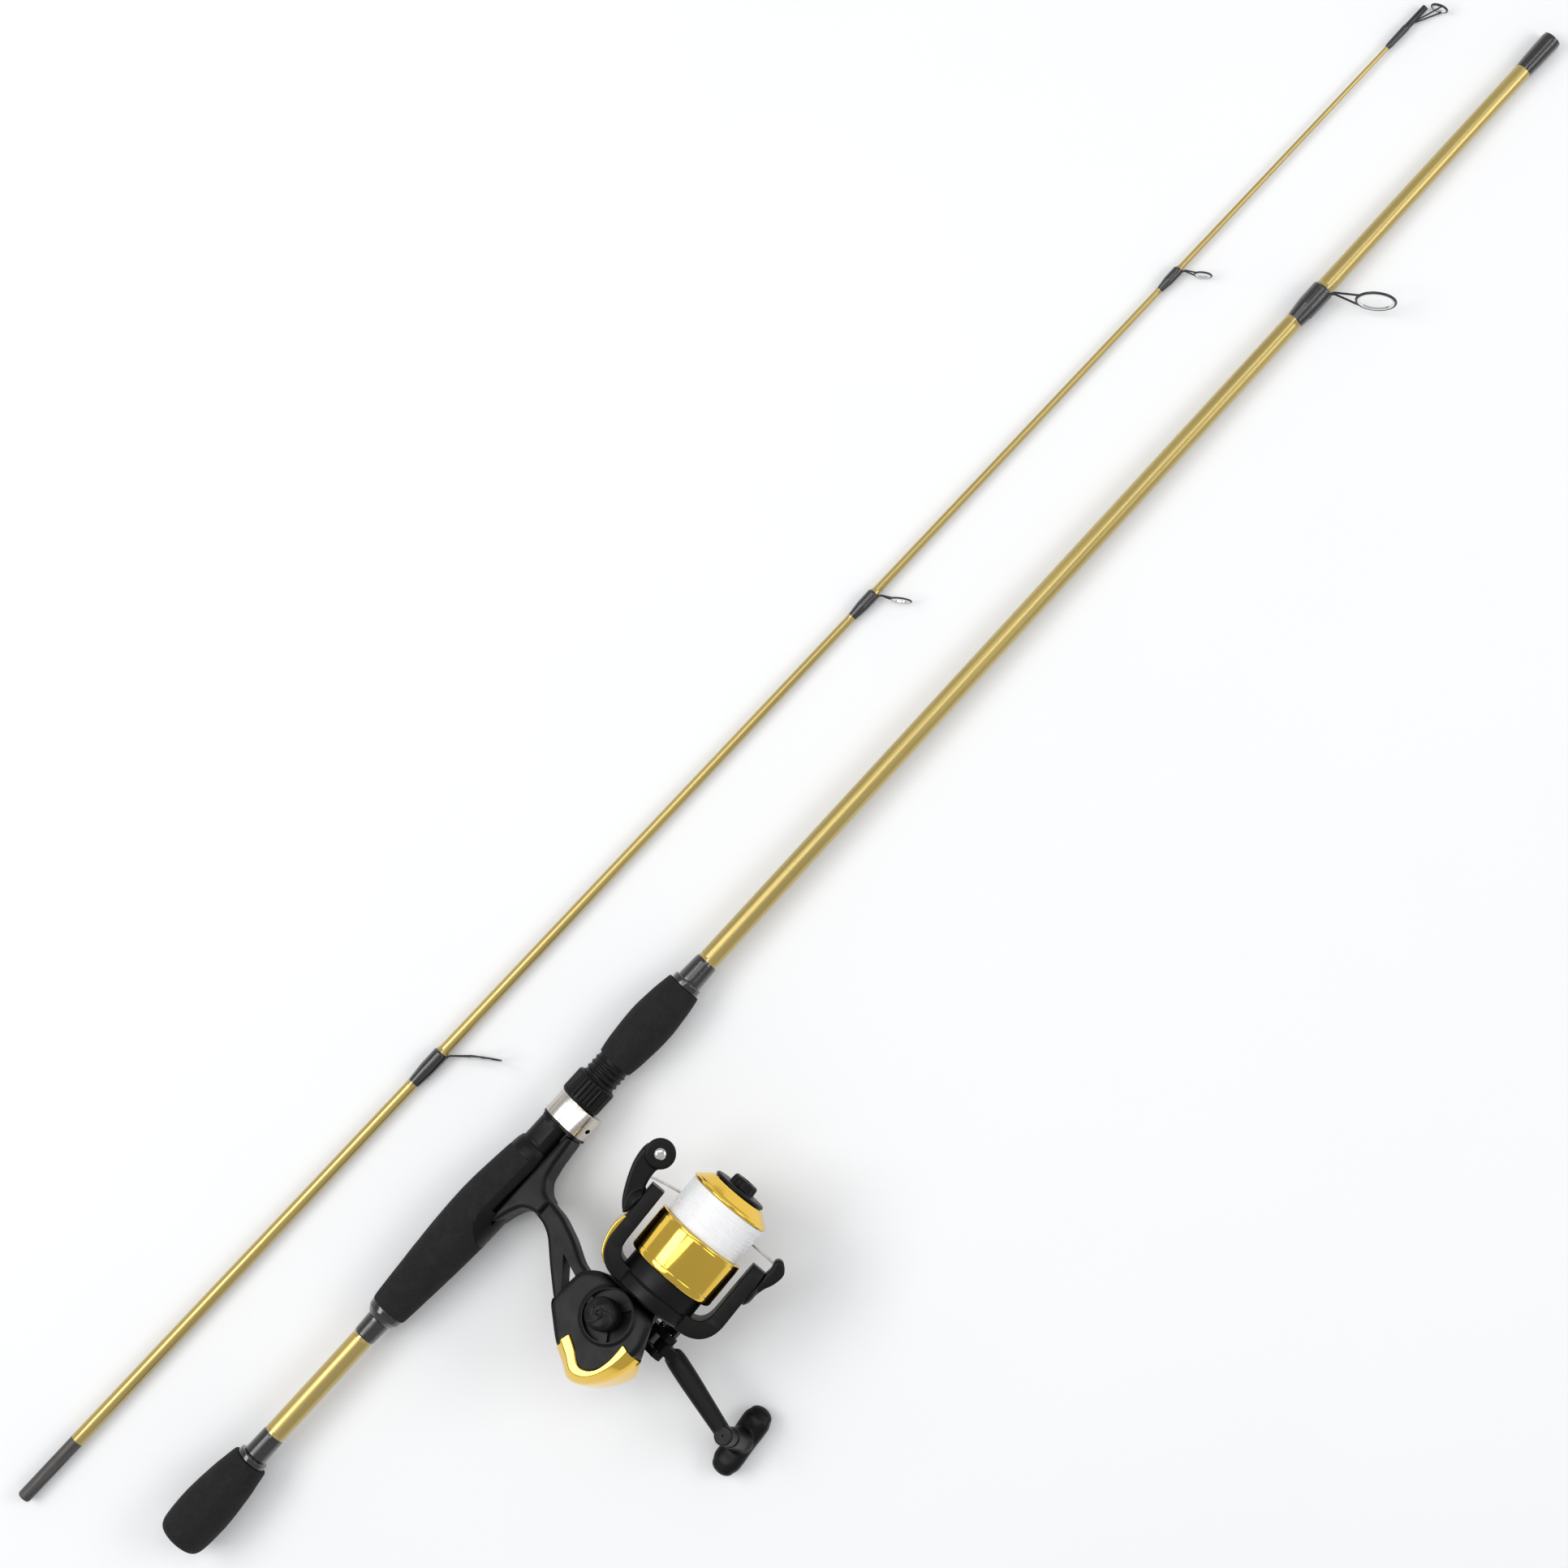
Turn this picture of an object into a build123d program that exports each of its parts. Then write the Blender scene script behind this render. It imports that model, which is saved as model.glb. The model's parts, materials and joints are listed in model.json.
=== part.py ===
from build123d import *
import math
import os

# Two-piece spinning rod with its reel, lying on a flat surface: the butt section rolled over
# onto the reel's handle knob, and the tip section beside it on its guide rings.
#
# Each section is drawn in its own rod frame, in millimetres: X runs from the butt to the tip
# along the rod, the reel hangs towards -Z and the crank handle is on the +Y side.
# The parts turning about the spool are drawn in the rotor frame: X along the spool shaft,
# +Z towards the bail arm and +Y towards the surface underneath.

os.makedirs("parts", exist_ok=True)

# ---- driving dimensions -------------------------------------------------------------------
BLANK_R = 5.55
BLANK_BORE_R = 4.4
SECTION_LENGTH = 1000.0
BLANK_TIP_R = 4.0
SOCKET_R = 3.5
SOCKET_DEPTH = 42.0
SOCKET_START = SECTION_LENGTH - SOCKET_DEPTH
SOCKET_END_R = BLANK_TIP_R + (5.3 - BLANK_TIP_R) * SOCKET_DEPTH / (SECTION_LENGTH - 384)
GLUE_GAP = 0.02

BUTT_GRIP_END = 53.2
BUTT_GRIP_R = 13.25
REAR_GRIP_START = 153.3
REAR_GRIP_END = 254.2
REAR_GRIP_R = 13.7
REAR_GRIP_CREST = 218.0
SEAT_R = 8.9
SEAT_END = 317.0
HOOD_START = 277.9
HOOD_LENGTH = 13.0
HOOD_R = 10.0
HOOD_REACH = 14.3
NUT_LENGTH = 13.7
NUT_R = 10.95
NUT_RIBS = 24
THREAD_PITCH = 3.0
FORE_GRIP_END = 366.9

# Reel, as distances along the rod and below its axis.
FOOT_TOP = 9.2
FOOT_THICKNESS = 2.5
DRIVE_X = 231.8
DRIVE_DEPTH = 92.0
BODY_HALF = 17.5
SPOOL_X = 287.0
SPOOL_DEPTH = 93.9
SPOOL_CANT = 3.0
SHAFT_R = 2.0
PINION_R = 3.4
PINION_TEETH = 10
DRIVE_GEAR_TEETH = 52
DRIVE_GEAR_R = 10.2
OSCILLATION_TEETH = 39
HUB_TEETH = 26
OSCILLATION_X = 215.4

ROTOR_BACK = 247.0
ROTOR_ARM_R = 34.5
ROTOR_ARM_END = 294.0
CUP_R = 20.5
SKIRT_R = 23.75
ARBOR_R = 13.0
LINE_R = 21.0
LIP_R = 21.4
BAIL_PIVOT_X = 283.0
WIRE_R = 0.8

HINGE_DEPTH = 104.0
HINGE_OUT = 36.0
ARM_END_X = 221.5
ARM_END_DEPTH = 154.5
ARM_END_OUT = 50.0
KNOB_BACK = 70.0
KNOB_FACE = 80.85
KNOB_LONG = 37.5
KNOB_WIDE = 15.6

# How the sections lie.
ROLL = 24.0
INCLINE = 0.639
TIP_ROLL = 12.2
TIP_INCLINE = 0.0884
SPIGOT_HEIGHT = 4.83
TIP_YAW = -0.747
SPIGOT_R = 3.45
FOOTPRINT_X = 7.223
FOOTPRINT_Y = -84.97
BUTT_END = (-473.6, -31.1)
SPIGOT_END = (-512.5, 38.8)

# ---- frames -------------------------------------------------------------------------------
crest_height = REAR_GRIP_R / math.cos(math.radians(INCLINE))
butt_height = crest_height + REAR_GRIP_CREST * math.tan(math.radians(INCLINE))
butt_origin = (BUTT_END[0] - FOOTPRINT_X, BUTT_END[1] - FOOTPRINT_Y, butt_height)
butt_frame = Pos(*butt_origin) * Rot(0, INCLINE, 0) * Rot(-90 - ROLL, 0, 0)
tip_origin = (SPIGOT_END[0] - FOOTPRINT_X, SPIGOT_END[1] - FOOTPRINT_Y, SPIGOT_HEIGHT)
tip_frame = Pos(*tip_origin) * Rot(0, 0, TIP_YAW) * Rot(0, TIP_INCLINE, 0) * Rot(-90 - TIP_ROLL, 0, 0)
spool_frame = butt_frame * Pos(SPOOL_X, 0, -SPOOL_DEPTH) * Rot(0, -SPOOL_CANT, 0) * Pos(-SPOOL_X, 0, 0)
rotor_frame = spool_frame * Rot(ROLL, 0, 0)


# ---- shared sections ----------------------------------------------------------------------
def ring_section(outline, bore):
    """Half section about the X axis: straight runs through (x, radius), closed on the bore."""
    with BuildSketch(Plane.XY) as section:
        with BuildLine():
            Polyline(*outline)
            Polyline(outline[-1], (outline[-1][0], bore), (outline[0][0], bore), outline[0])
        make_face()
    return section.sketch


def swell_section(outline, bore):
    """Half section about the X axis: a smooth curve through (x, radius), closed on the bore."""
    with BuildSketch(Plane.XY) as section:
        with BuildLine():
            Spline(*outline)
            Polyline(outline[-1], (outline[-1][0], bore), (outline[0][0], bore), outline[0])
        make_face()
    return section.sketch


def outline_face(plane, corners):
    """Flat face on the plane, bounded by straight runs through the corners."""
    with BuildSketch(plane) as face:
        with BuildLine():
            Polyline(*corners, close=True)
        make_face()
    return face.sketch


def bend_radii(points):
    """The largest even bends that a path through the points has room for, one per corner."""
    radii = []
    for before, corner, after in zip(points, points[1:], points[2:]):
        run_in = Vector(*corner) - Vector(*before)
        run_out = Vector(*after) - Vector(*corner)
        turn = math.radians(run_in.get_angle(run_out))
        radii.append(0.45 * min(run_in.length, run_out.length) / math.tan(turn / 2))
    return radii


def wire(points, radius):
    """Round wire of the given radius along the points, with smooth bends."""
    with BuildPart() as bent:
        with BuildLine() as path:
            FilletPolyline(*points, radius=bend_radii(points))
        with BuildSketch(Plane(origin=path.line @ 0, z_dir=path.line % 0)):
            Circle(radius)
        sweep(path=path.line)
    return bent.part


# ---- butt section: blank and grips --------------------------------------------------------
with BuildPart() as butt_blank:
    with BuildSketch(Plane.XY):
        with BuildLine():
            Polyline(
                (3.5, 0),
                (3.5, BLANK_R),
                (330, BLANK_R),
                (384, 5.3),
                (SOCKET_START, SOCKET_END_R),
                (SOCKET_START, 2.9),
                (384, BLANK_BORE_R - 0.2),
                (6, BLANK_BORE_R),
                (6, 0),
                close=True,
            )
        make_face()
    revolve(axis=Axis.X)
butt_blank.part.label = "butt_blank"
export_step(butt_blank.part.moved(butt_frame), "parts/butt_blank.step")

# Parallel-bored end of the blank that takes the tip section's spigot.
with BuildPart() as ferrule_socket:
    socket = [(SOCKET_START, SOCKET_END_R), (SECTION_LENGTH, BLANK_TIP_R)]
    revolve(ring_section(socket, SOCKET_R), axis=Axis.X)
ferrule_socket.part.label = "ferrule_socket"
export_step(ferrule_socket.part.moved(butt_frame), "parts/ferrule_socket.step")

with BuildPart() as butt_grip:
    with BuildSketch(Plane.XY):
        with BuildLine():
            Line((0, 0), (0, 6))
            Spline((0, 6), (2.6, 11.4), (9, 12.8), (22, BUTT_GRIP_R), (38, 11.9), (BUTT_GRIP_END, 9.5))
            Polyline((BUTT_GRIP_END, 9.5), (BUTT_GRIP_END, BLANK_R + GLUE_GAP), (3.3, BLANK_R + GLUE_GAP))
            Polyline((3.3, BLANK_R + GLUE_GAP), (3.3, 0), (0, 0))
        make_face()
    revolve(axis=Axis.X)
butt_grip.part.label = "butt_grip"
export_step(butt_grip.part.moved(butt_frame), "parts/butt_grip.step")

# Trim rings and thread wraps: name, bore and the outline of each ring.
collars = [
    (
        "grip_checks",
        BLANK_R,
        [(53.2, 7.5), (54, 7.9), (55.6, 7.9), (56.4, 7.4)],
        [(146.6, 6.5), (147.4, 7.4), (150, 9.2), (152, 9.45), (153.3, 9.3)],
        [(366.9, 7.5), (367.6, 7.8), (370, 7.8), (370.7, 7.4)],
    ),
    (
        "butt_wraps",
        BLANK_R,
        [(56.45, 6.1), (57.2, 6.3), (69.5, 6.0), (70.7, 5.75)],
        [(135.4, 5.75), (136.4, 6.1), (145.8, 6.45), (146.55, 6.45)],
    ),
    (
        "fore_wrap",
        BLANK_R,
        [(370.75, 6.6), (371.6, 6.7), (382.6, 6.2), (384, 5.7)],
    ),
    (
        "ferrule_wrap",
        4.06,
        [(979, 4.2), (981, 4.5), (988, 4.8), (998, 5.0), (1000, 4.8), (1000.6, 4.3)],
    ),
]
for name, bore, *outlines in collars:
    with BuildPart() as collar:
        for outline in outlines:
            revolve(ring_section(outline, bore + GLUE_GAP), axis=Axis.X)
    collar.part.label = name
    export_step(collar.part.moved(butt_frame), f"parts/{name}.step")

# ---- butt section: reel seat --------------------------------------------------------------
TONGUE_REAR = 206.6
TONGUE_NOSE = 219.0
TONGUE_HALF = 12.4
TONGUE_TOP = -5.4
TONGUE_SWELL = [(205, 13.4), (REAR_GRIP_CREST, REAR_GRIP_R + 0.05), (238, 13.0), (254.2, 11.1)]
GRIP_SWELL = [
    (153.3, 9.7),
    (165, 10.7),
    (190, 12.6),
    (REAR_GRIP_CREST, REAR_GRIP_R),
    (238, 12.9),
    (254.2, 11.0),
]


def tongue_plan(height, grow):
    """Outline of the tongue at the given height, grown by the given amount."""
    half = TONGUE_HALF + grow
    with BuildSketch(Plane.XY.offset(height)) as plan:
        with BuildLine():
            Line((254.3, half), (TONGUE_NOSE, half))
            ThreePointArc((TONGUE_NOSE, half), (TONGUE_REAR - grow, 0), (TONGUE_NOSE, -half))
            Line((TONGUE_NOSE, -half), (254.3, -half))
            Line((254.3, -half), (254.3, half))
        make_face()
    return plan.sketch


def tongue_shell():
    """Shell flush with the underside of the rear grip, cut to the tongue's outline."""
    with BuildPart() as shell:
        revolve(swell_section(TONGUE_SWELL, 8.4), axis=Axis.X)
        extrude(tongue_plan(TONGUE_TOP, 0), amount=-20, mode=Mode.INTERSECT)
    return shell.part


with BuildPart() as reel_seat:
    thread_start = 291.5
    turns = int((SEAT_END - thread_start) / THREAD_PITCH)
    barrel = [
        (200, 8.5),
        (254.2, 8.5),
        (254.2, 11.0),
        (261.4, 9.75),
        (261.4, SEAT_R),
        (thread_start, SEAT_R),
    ]
    for turn in range(turns):
        start = thread_start + turn * THREAD_PITCH
        barrel += [(start + 0.4, SEAT_R), (start + 0.8, 9.1), (start + 1.8, 9.1), (start + 2.2, 8.5)]
        barrel += [(start + 2.8, 8.5)]
    barrel += [(SEAT_END, 8.5)]
    revolve(ring_section(barrel, BLANK_R + GLUE_GAP), axis=Axis.X)
    # Tongue under the rear grip that holds the foot's rear tip.
    add(tongue_shell())
    # Saddle for the reel foot, open towards the hood.
    with BuildSketch(Plane.XY.offset(-FOOT_TOP + 0.05)):
        with Locations((255.7, 0)):
            RectangleRounded(75.4, 15.6, 7.6)
    extrude(amount=-FOOT_THICKNESS - 0.15, mode=Mode.SUBTRACT)
    with BuildSketch(Plane.XY.offset(-FOOT_TOP + 0.05)):
        with Locations((243.5, 0)):
            Rectangle(37, 30)
    extrude(amount=-8, mode=Mode.SUBTRACT)
    # Shallow panel on each side of the barrel.
    for side in (1, -1):
        with BuildSketch(Plane.XZ.offset(-side * (SEAT_R - 0.7))):
            with Locations((269, 0)):
                RectangleRounded(11, 7, 1)
        extrude(amount=-side * 2, mode=Mode.SUBTRACT)
reel_seat.part.label = "reel_seat"
export_step(reel_seat.part.moved(butt_frame), "parts/reel_seat.step")

with BuildPart() as rear_grip:
    revolve(swell_section(GRIP_SWELL, BLANK_R + GLUE_GAP), axis=Axis.X)
    # Pocket for the seat's sleeve, then the opening that the tongue fills.
    with BuildSketch(Plane.YZ.offset(199.9)):
        Circle(8.52)
    extrude(amount=60, mode=Mode.SUBTRACT)
    extrude(tongue_plan(TONGUE_TOP + 0.15, 0.15), amount=-20, mode=Mode.SUBTRACT)
rear_grip.part.label = "rear_grip"
export_step(rear_grip.part.moved(butt_frame), "parts/rear_grip.step")


def hood_face(x, grow):
    """Round band with a bulge over the reel foot, grown by the given amount."""
    with BuildSketch(Plane.YZ.offset(x)) as face:
        Circle(HOOD_R + grow)
        with Locations((0, -(HOOD_REACH + grow) / 2)):
            RectangleRounded(18 + 2 * grow, HOOD_REACH + grow, 4 + grow)
    return face.sketch


with BuildPart() as sliding_hood:
    extrude(hood_face(HOOD_START, 0), amount=HOOD_LENGTH)
    extrude(hood_face(HOOD_START - 0.1, -0.8), amount=HOOD_LENGTH - 1, mode=Mode.SUBTRACT)
    with BuildSketch(Plane.YZ.offset(HOOD_START)):
        Circle(9.25)
    extrude(amount=HOOD_LENGTH + 1, mode=Mode.SUBTRACT)
    # Window over the tip of the foot.
    with BuildSketch(Plane.XY.offset(-20)):
        with Locations((283.5, 0)):
            SlotOverall(5, 2.6, rotation=90)
    extrude(amount=8, mode=Mode.SUBTRACT)
sliding_hood.part.label = "sliding_hood"
export_step(sliding_hood.part.moved(butt_frame), "parts/sliding_hood.step")

with BuildPart() as hood_liner:
    extrude(hood_face(HOOD_START - 1.2, -0.1), amount=1.2)
    extrude(hood_face(HOOD_START - 1.3, -0.8), amount=1.5, mode=Mode.SUBTRACT)
hood_liner.part.label = "hood_liner"
export_step(hood_liner.part.moved(butt_frame), "parts/hood_liner.step")

with BuildPart() as locking_nut:
    nut_start = HOOD_START + HOOD_LENGTH + 0.05
    nut_end = nut_start + NUT_LENGTH
    nut_outline = [(nut_start, 9.8), (nut_start + 1, NUT_R), (nut_end - 1, NUT_R), (nut_end, 10.1)]
    revolve(ring_section(nut_outline, 9.2), axis=Axis.X)
    with BuildSketch(Plane.YZ.offset(nut_start + 1.5)):
        with PolarLocations(NUT_R + 0.15, NUT_RIBS):
            Circle(0.65)
    extrude(amount=NUT_LENGTH - 3, mode=Mode.SUBTRACT)
locking_nut.part.label = "locking_nut"
export_step(locking_nut.part.moved(butt_frame), "parts/locking_nut.step")

with BuildPart() as fore_grip:
    swell = [(SEAT_END + 0.1, 9.5), (328, 10.9), (343, 11.75), (356, 10.7), (FORE_GRIP_END, 9.2)]
    revolve(swell_section(swell, BLANK_R + GLUE_GAP), axis=Axis.X)
fore_grip.part.label = "fore_grip"
export_step(fore_grip.part.moved(butt_frame), "parts/fore_grip.step")


# ---- line guides --------------------------------------------------------------------------
# Section frame, wrap start and end, blank radius under the wrap, ring x, ring offset, ring
# outer radius, wire radius.
guides = [
    (butt_frame, 811.0, 833.0, 4.42, 843.0, 25.0, 10.25, 0.6),
    (tip_frame, 280.5, 301.2, 2.99, 314.2, 18.0, 8.25, 0.5),
    (tip_frame, 595.9, 612.4, 2.18, 618.4, 12.4, 5.55, 0.45),
    (tip_frame, 817.3, 831.7, 1.55, 837.0, 10.9, 4.7, 0.45),
]
GUIDE_LEAN = math.radians(35)
LEG_SPREAD = math.radians(40)
LEG_SHARE = 0.9
for number, guide in enumerate(guides, start=1):
    place, wrap_start, wrap_end, seat_r, ring_x, ring_depth, ring_r, wire_r = guide
    centre = (ring_x, 0, -ring_depth)
    normal = (math.cos(GUIDE_LEAN), 0, math.sin(GUIDE_LEAN))
    hoop_r = ring_r - wire_r
    reach = hoop_r * math.cos(LEG_SPREAD)
    foot_z = -(seat_r + wire_r + GLUE_GAP)
    foot_end = wrap_end - 1.5
    legs = []
    for side in (1, -1):
        leg_end = (
            ring_x - reach * math.sin(GUIDE_LEAN),
            side * hoop_r * math.sin(LEG_SPREAD),
            -ring_depth + reach * math.cos(GUIDE_LEAN),
        )
        root = (foot_end - 1.2, side * wire_r * 0.3, foot_z)
        toe = (wrap_end + 0.8, side * wire_r * 0.9, foot_z)
        legs.append(wire([root, toe, leg_end], LEG_SHARE * wire_r))

    with BuildPart() as guide_frame:
        with BuildSketch(Plane(origin=centre, x_dir=normal, z_dir=(0, 1, 0))):
            with Locations((0, hoop_r)):
                Circle(wire_r)
        revolve(axis=Axis(centre, normal))
        with BuildSketch(Plane.YZ.offset(wrap_start + 6)):
            with Locations((0, foot_z)):
                Circle(wire_r)
        extrude(amount=foot_end - wrap_start - 6)
        add(legs)
    guide_frame.part.label = f"guide_{number}_frame"
    export_step(guide_frame.part.moved(place), f"parts/guide_{number}_frame.step")

    with BuildPart() as guide_wrap:
        crown = seat_r + 2 * wire_r + 0.3
        wrap = [
            (wrap_start, seat_r + 0.2),
            (wrap_start + 1.2, seat_r + 0.4),
            (wrap_start + 0.45 * (wrap_end - wrap_start), crown - 0.1),
            (wrap_end - 1, crown),
            (wrap_end, seat_r + 0.3),
        ]
        revolve(ring_section(wrap, seat_r), axis=Axis.X)
        add(guide_frame.part, mode=Mode.SUBTRACT)
    guide_wrap.part.label = f"guide_{number}_wrap"
    export_step(guide_wrap.part.moved(place), f"parts/guide_{number}_wrap.step")

    with BuildPart() as guide_ring:
        inner = hoop_r - wire_r - 0.02
        with BuildSketch(Plane(origin=centre, x_dir=normal, z_dir=(0, 1, 0))):
            with Locations((0, inner - 0.45)):
                Rectangle(1.8 * wire_r, 0.9)
        revolve(axis=Axis(centre, normal))
    guide_ring.part.label = f"guide_{number}_ring"
    export_step(guide_ring.part.moved(place), f"parts/guide_{number}_ring.step")

# ---- tip section --------------------------------------------------------------------------
with BuildPart() as ferrule_spigot:
    spigot = [(0, 3.0), (0.8, SPIGOT_R), (38.6, SPIGOT_R), (38.6, 2.4), (62, 2.4)]
    revolve(ring_section(spigot, 1.4), axis=Axis.X)
ferrule_spigot.part.label = "ferrule_spigot"
export_step(ferrule_spigot.part.moved(tip_frame), "parts/ferrule_spigot.step")

TIP_BLANK = [(38.6, 3.55), (290, 2.95), (600, 2.15), (825, 1.5), (1004, 1.0)]
with BuildPart() as tip_blank:
    revolve(ring_section(TIP_BLANK, 0), axis=Axis.X)
    with BuildSketch(Plane.YZ.offset(38.6)):
        Circle(2.42)
    extrude(amount=30, mode=Mode.SUBTRACT)
tip_blank.part.label = "tip_blank"
export_step(tip_blank.part.moved(tip_frame), "parts/tip_blank.step")

with BuildPart() as tip_top_wrap:
    wrap = [(981.4, 1.3), (983, 1.6), (990, 1.8), (995, 1.9), (996, 1.6)]
    revolve(ring_section(wrap, 1.095), axis=Axis.X)
tip_top_wrap.part.label = "tip_top_wrap"
export_step(tip_top_wrap.part.moved(tip_frame), "parts/tip_top_wrap.step")

TOP_CENTRE = (1013.0, 0, -5.6)
TOP_R = 4.5
TOP_WIRE_R = 0.45
TOP_LEAN = math.radians(20)
top_normal = (math.cos(TOP_LEAN), 0, math.sin(TOP_LEAN))
top_section = Plane(origin=TOP_CENTRE, x_dir=top_normal, z_dir=(0, 1, 0))
top_braces = [
    wire([(1000, side * 0.9, -1.2), (1005.5, side * 2.0, -3.6), (1013.5, side * 3.99, -6.97)], 0.4)
    for side in (1, -1)
]
with BuildPart() as tip_top_frame:
    with BuildSketch(Plane.YZ.offset(996.1)):
        Circle(1.55)
    extrude(amount=12.9)
    with BuildSketch(Plane.YZ.offset(996)):
        Circle(1.09)
    extrude(amount=8.2, mode=Mode.SUBTRACT)
    with BuildSketch(top_section):
        with Locations((0, TOP_R - TOP_WIRE_R)):
            Circle(TOP_WIRE_R)
    revolve(axis=Axis(TOP_CENTRE, top_normal))
    add(top_braces)
tip_top_frame.part.label = "tip_top_frame"
export_step(tip_top_frame.part.moved(tip_frame), "parts/tip_top_frame.step")

with BuildPart() as tip_top_ring:
    with BuildSketch(top_section):
        with Locations((0, TOP_R - 3 * TOP_WIRE_R - 0.07)):
            Rectangle(0.9, 0.86)
    revolve(axis=Axis(TOP_CENTRE, top_normal))
tip_top_ring.part.label = "tip_top_ring"
export_step(tip_top_ring.part.moved(tip_frame), "parts/tip_top_ring.step")


# ---- reel body ----------------------------------------------------------------------------
def at_depth(*points):
    """Corners given as (x, depth below the rod axis), as points of the XZ plane."""
    return [(x, -depth) for x, depth in points]


def spool_point(x):
    """Point of the spool axis at the given distance along the rod."""
    return Vector(x, 0, (x - SPOOL_X) * math.tan(math.radians(SPOOL_CANT)) - SPOOL_DEPTH)


BODY = at_depth(
    (214.5, 67.5),
    (204, 81),
    (196, 95),
    (204, 107),
    (219, 115),
    (232, 115),
    (246, 110),
    (244.8, 74),
    (238, 68),
)
CAVITY = at_depth(
    (216, 70.5),
    (207.5, 82.5),
    (202, 93),
    (204, 99.8),
    (206.8, 103.6),
    (237, 103.6),
    (243.2, 101),
    (242.6, 76),
    (237, 70.5),
)
COVER_EDGE = at_depth(
    (204, 81),
    (215, 86),
    (207, 98),
    (217, 106),
    (228, 106),
    (225, 120),
    (200, 118),
    (190, 95),
)
COVER_WALL = 2.3
COVER_HALF = 18.3
CAVITY_FLOOR = -13.2
CAVITY_LEDGE = 13.0
RIM_R = 13.4
spool_direction = (math.cos(math.radians(SPOOL_CANT)), 0, math.sin(math.radians(SPOOL_CANT)))
screw_spots = at_depth((239.5, 77.5), (212.5, 77.5))
POST_R = 2.0

with BuildSketch(Plane.XZ) as body_outline:
    with BuildLine():
        Polyline(*BODY, close=True)
    make_face()
    fillet(body_outline.vertices(), radius=3.5)
with BuildSketch(Plane.XZ) as inner_outline:
    add(body_outline.sketch)
    offset(amount=-COVER_WALL, kind=Kind.INTERSECTION)

# Slanted underside on the handle's side.
underside = outline_face(Plane.YZ.offset(190), [(3, -116.5), (19.5, -103.5), (19.5, -125), (3, -125)])

with BuildPart() as reel_body:
    extrude(body_outline.sketch, amount=BODY_HALF, both=True)
    extrude(outline_face(Plane.XZ, COVER_EDGE), amount=30, both=True, mode=Mode.SUBTRACT)
    extrude(inner_outline.sketch, amount=BODY_HALF - 1.9, both=True)
    extrude(underside, amount=60, mode=Mode.SUBTRACT)
    # Neck around the pinion bearing.
    with BuildSketch(Plane(origin=spool_point(244), z_dir=spool_direction)):
        Circle(9)
    extrude(amount=13.5)
    # Stem with its window, up to the foot.
    stem = at_depth(
        (239, 10),
        (239, 33),
        (236.5, 35.5),
        (226, 48),
        (217, 60),
        (205, 79.5),
        (212, 84),
        (243, 84),
    )
    stem += at_depth(
        (244.8, 74),
        (241, 70),
        (237.5, 65),
        (238.5, 59),
        (244, 48),
        (248, 36),
        (248, 10),
    )
    extrude(outline_face(Plane.XZ, stem), amount=5, both=True)
    window = at_depth((235, 49.5), (232.6, 56), (230.5, 63.5), (216.5, 66.6))
    extrude(outline_face(Plane.XZ, window), amount=20, both=True, mode=Mode.SUBTRACT)
    with BuildSketch(Plane.XY.offset(-FOOT_TOP)):
        with Locations((250, 0)):
            RectangleRounded(62, 15, 7)
    extrude(amount=-FOOT_THICKNESS)
    # Hollow for the gears, with a ledge for the side cover and posts for its screws.
    extrude(outline_face(Plane.XZ.offset(-CAVITY_FLOOR), CAVITY), amount=-40, mode=Mode.SUBTRACT)
    with BuildSketch(Plane.XZ.offset(-CAVITY_LEDGE)):
        with BuildLine():
            Polyline(*CAVITY, close=True)
        make_face()
        offset(amount=1.3, kind=Kind.INTERSECTION)
    extrude(amount=-20, mode=Mode.SUBTRACT)
    with BuildSketch(Plane.XZ.offset(-CAVITY_LEDGE + 0.1)):
        with Locations(*screw_spots):
            Circle(POST_R)
            Circle(1.15, mode=Mode.SUBTRACT)
    extrude(amount=CAVITY_LEDGE - CAVITY_FLOOR)
    # Bores for the pinion and its bearing.
    with BuildSketch(Plane(origin=spool_point(240), z_dir=spool_direction)):
        Circle(4.6)
    extrude(amount=20, mode=Mode.SUBTRACT)
    with BuildSketch(Plane(origin=spool_point(250.5), z_dir=spool_direction)):
        Circle(7.02)
    extrude(amount=20, mode=Mode.SUBTRACT)
    # Round recess behind the shaft cap: raised rim, three webs and a hub for the bush.
    with BuildSketch(Plane.XZ.offset(BODY_HALF - 0.5)):
        with Locations((DRIVE_X, -DRIVE_DEPTH)):
            Circle(RIM_R)
    extrude(amount=1.5)
    with BuildSketch(Plane.XZ.offset(BODY_HALF + 1)):
        with Locations((DRIVE_X, -DRIVE_DEPTH)):
            Circle(RIM_R - 1.4)
            Circle(5.4, mode=Mode.SUBTRACT)
            with PolarLocations(0, 3, start_angle=-40):
                Rectangle(RIM_R, 3.4, align=(Align.MIN, Align.CENTER), mode=Mode.SUBTRACT)
    extrude(amount=-3.6, mode=Mode.SUBTRACT)
    with BuildSketch(Plane.XZ.offset(BODY_HALF + 2)):
        with Locations((DRIVE_X, -DRIVE_DEPTH)):
            Circle(4.52)
    extrude(amount=-9, mode=Mode.SUBTRACT)
reel_body.part.label = "reel_body"
export_step(reel_body.part.moved(butt_frame), "parts/reel_body.step")

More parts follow.
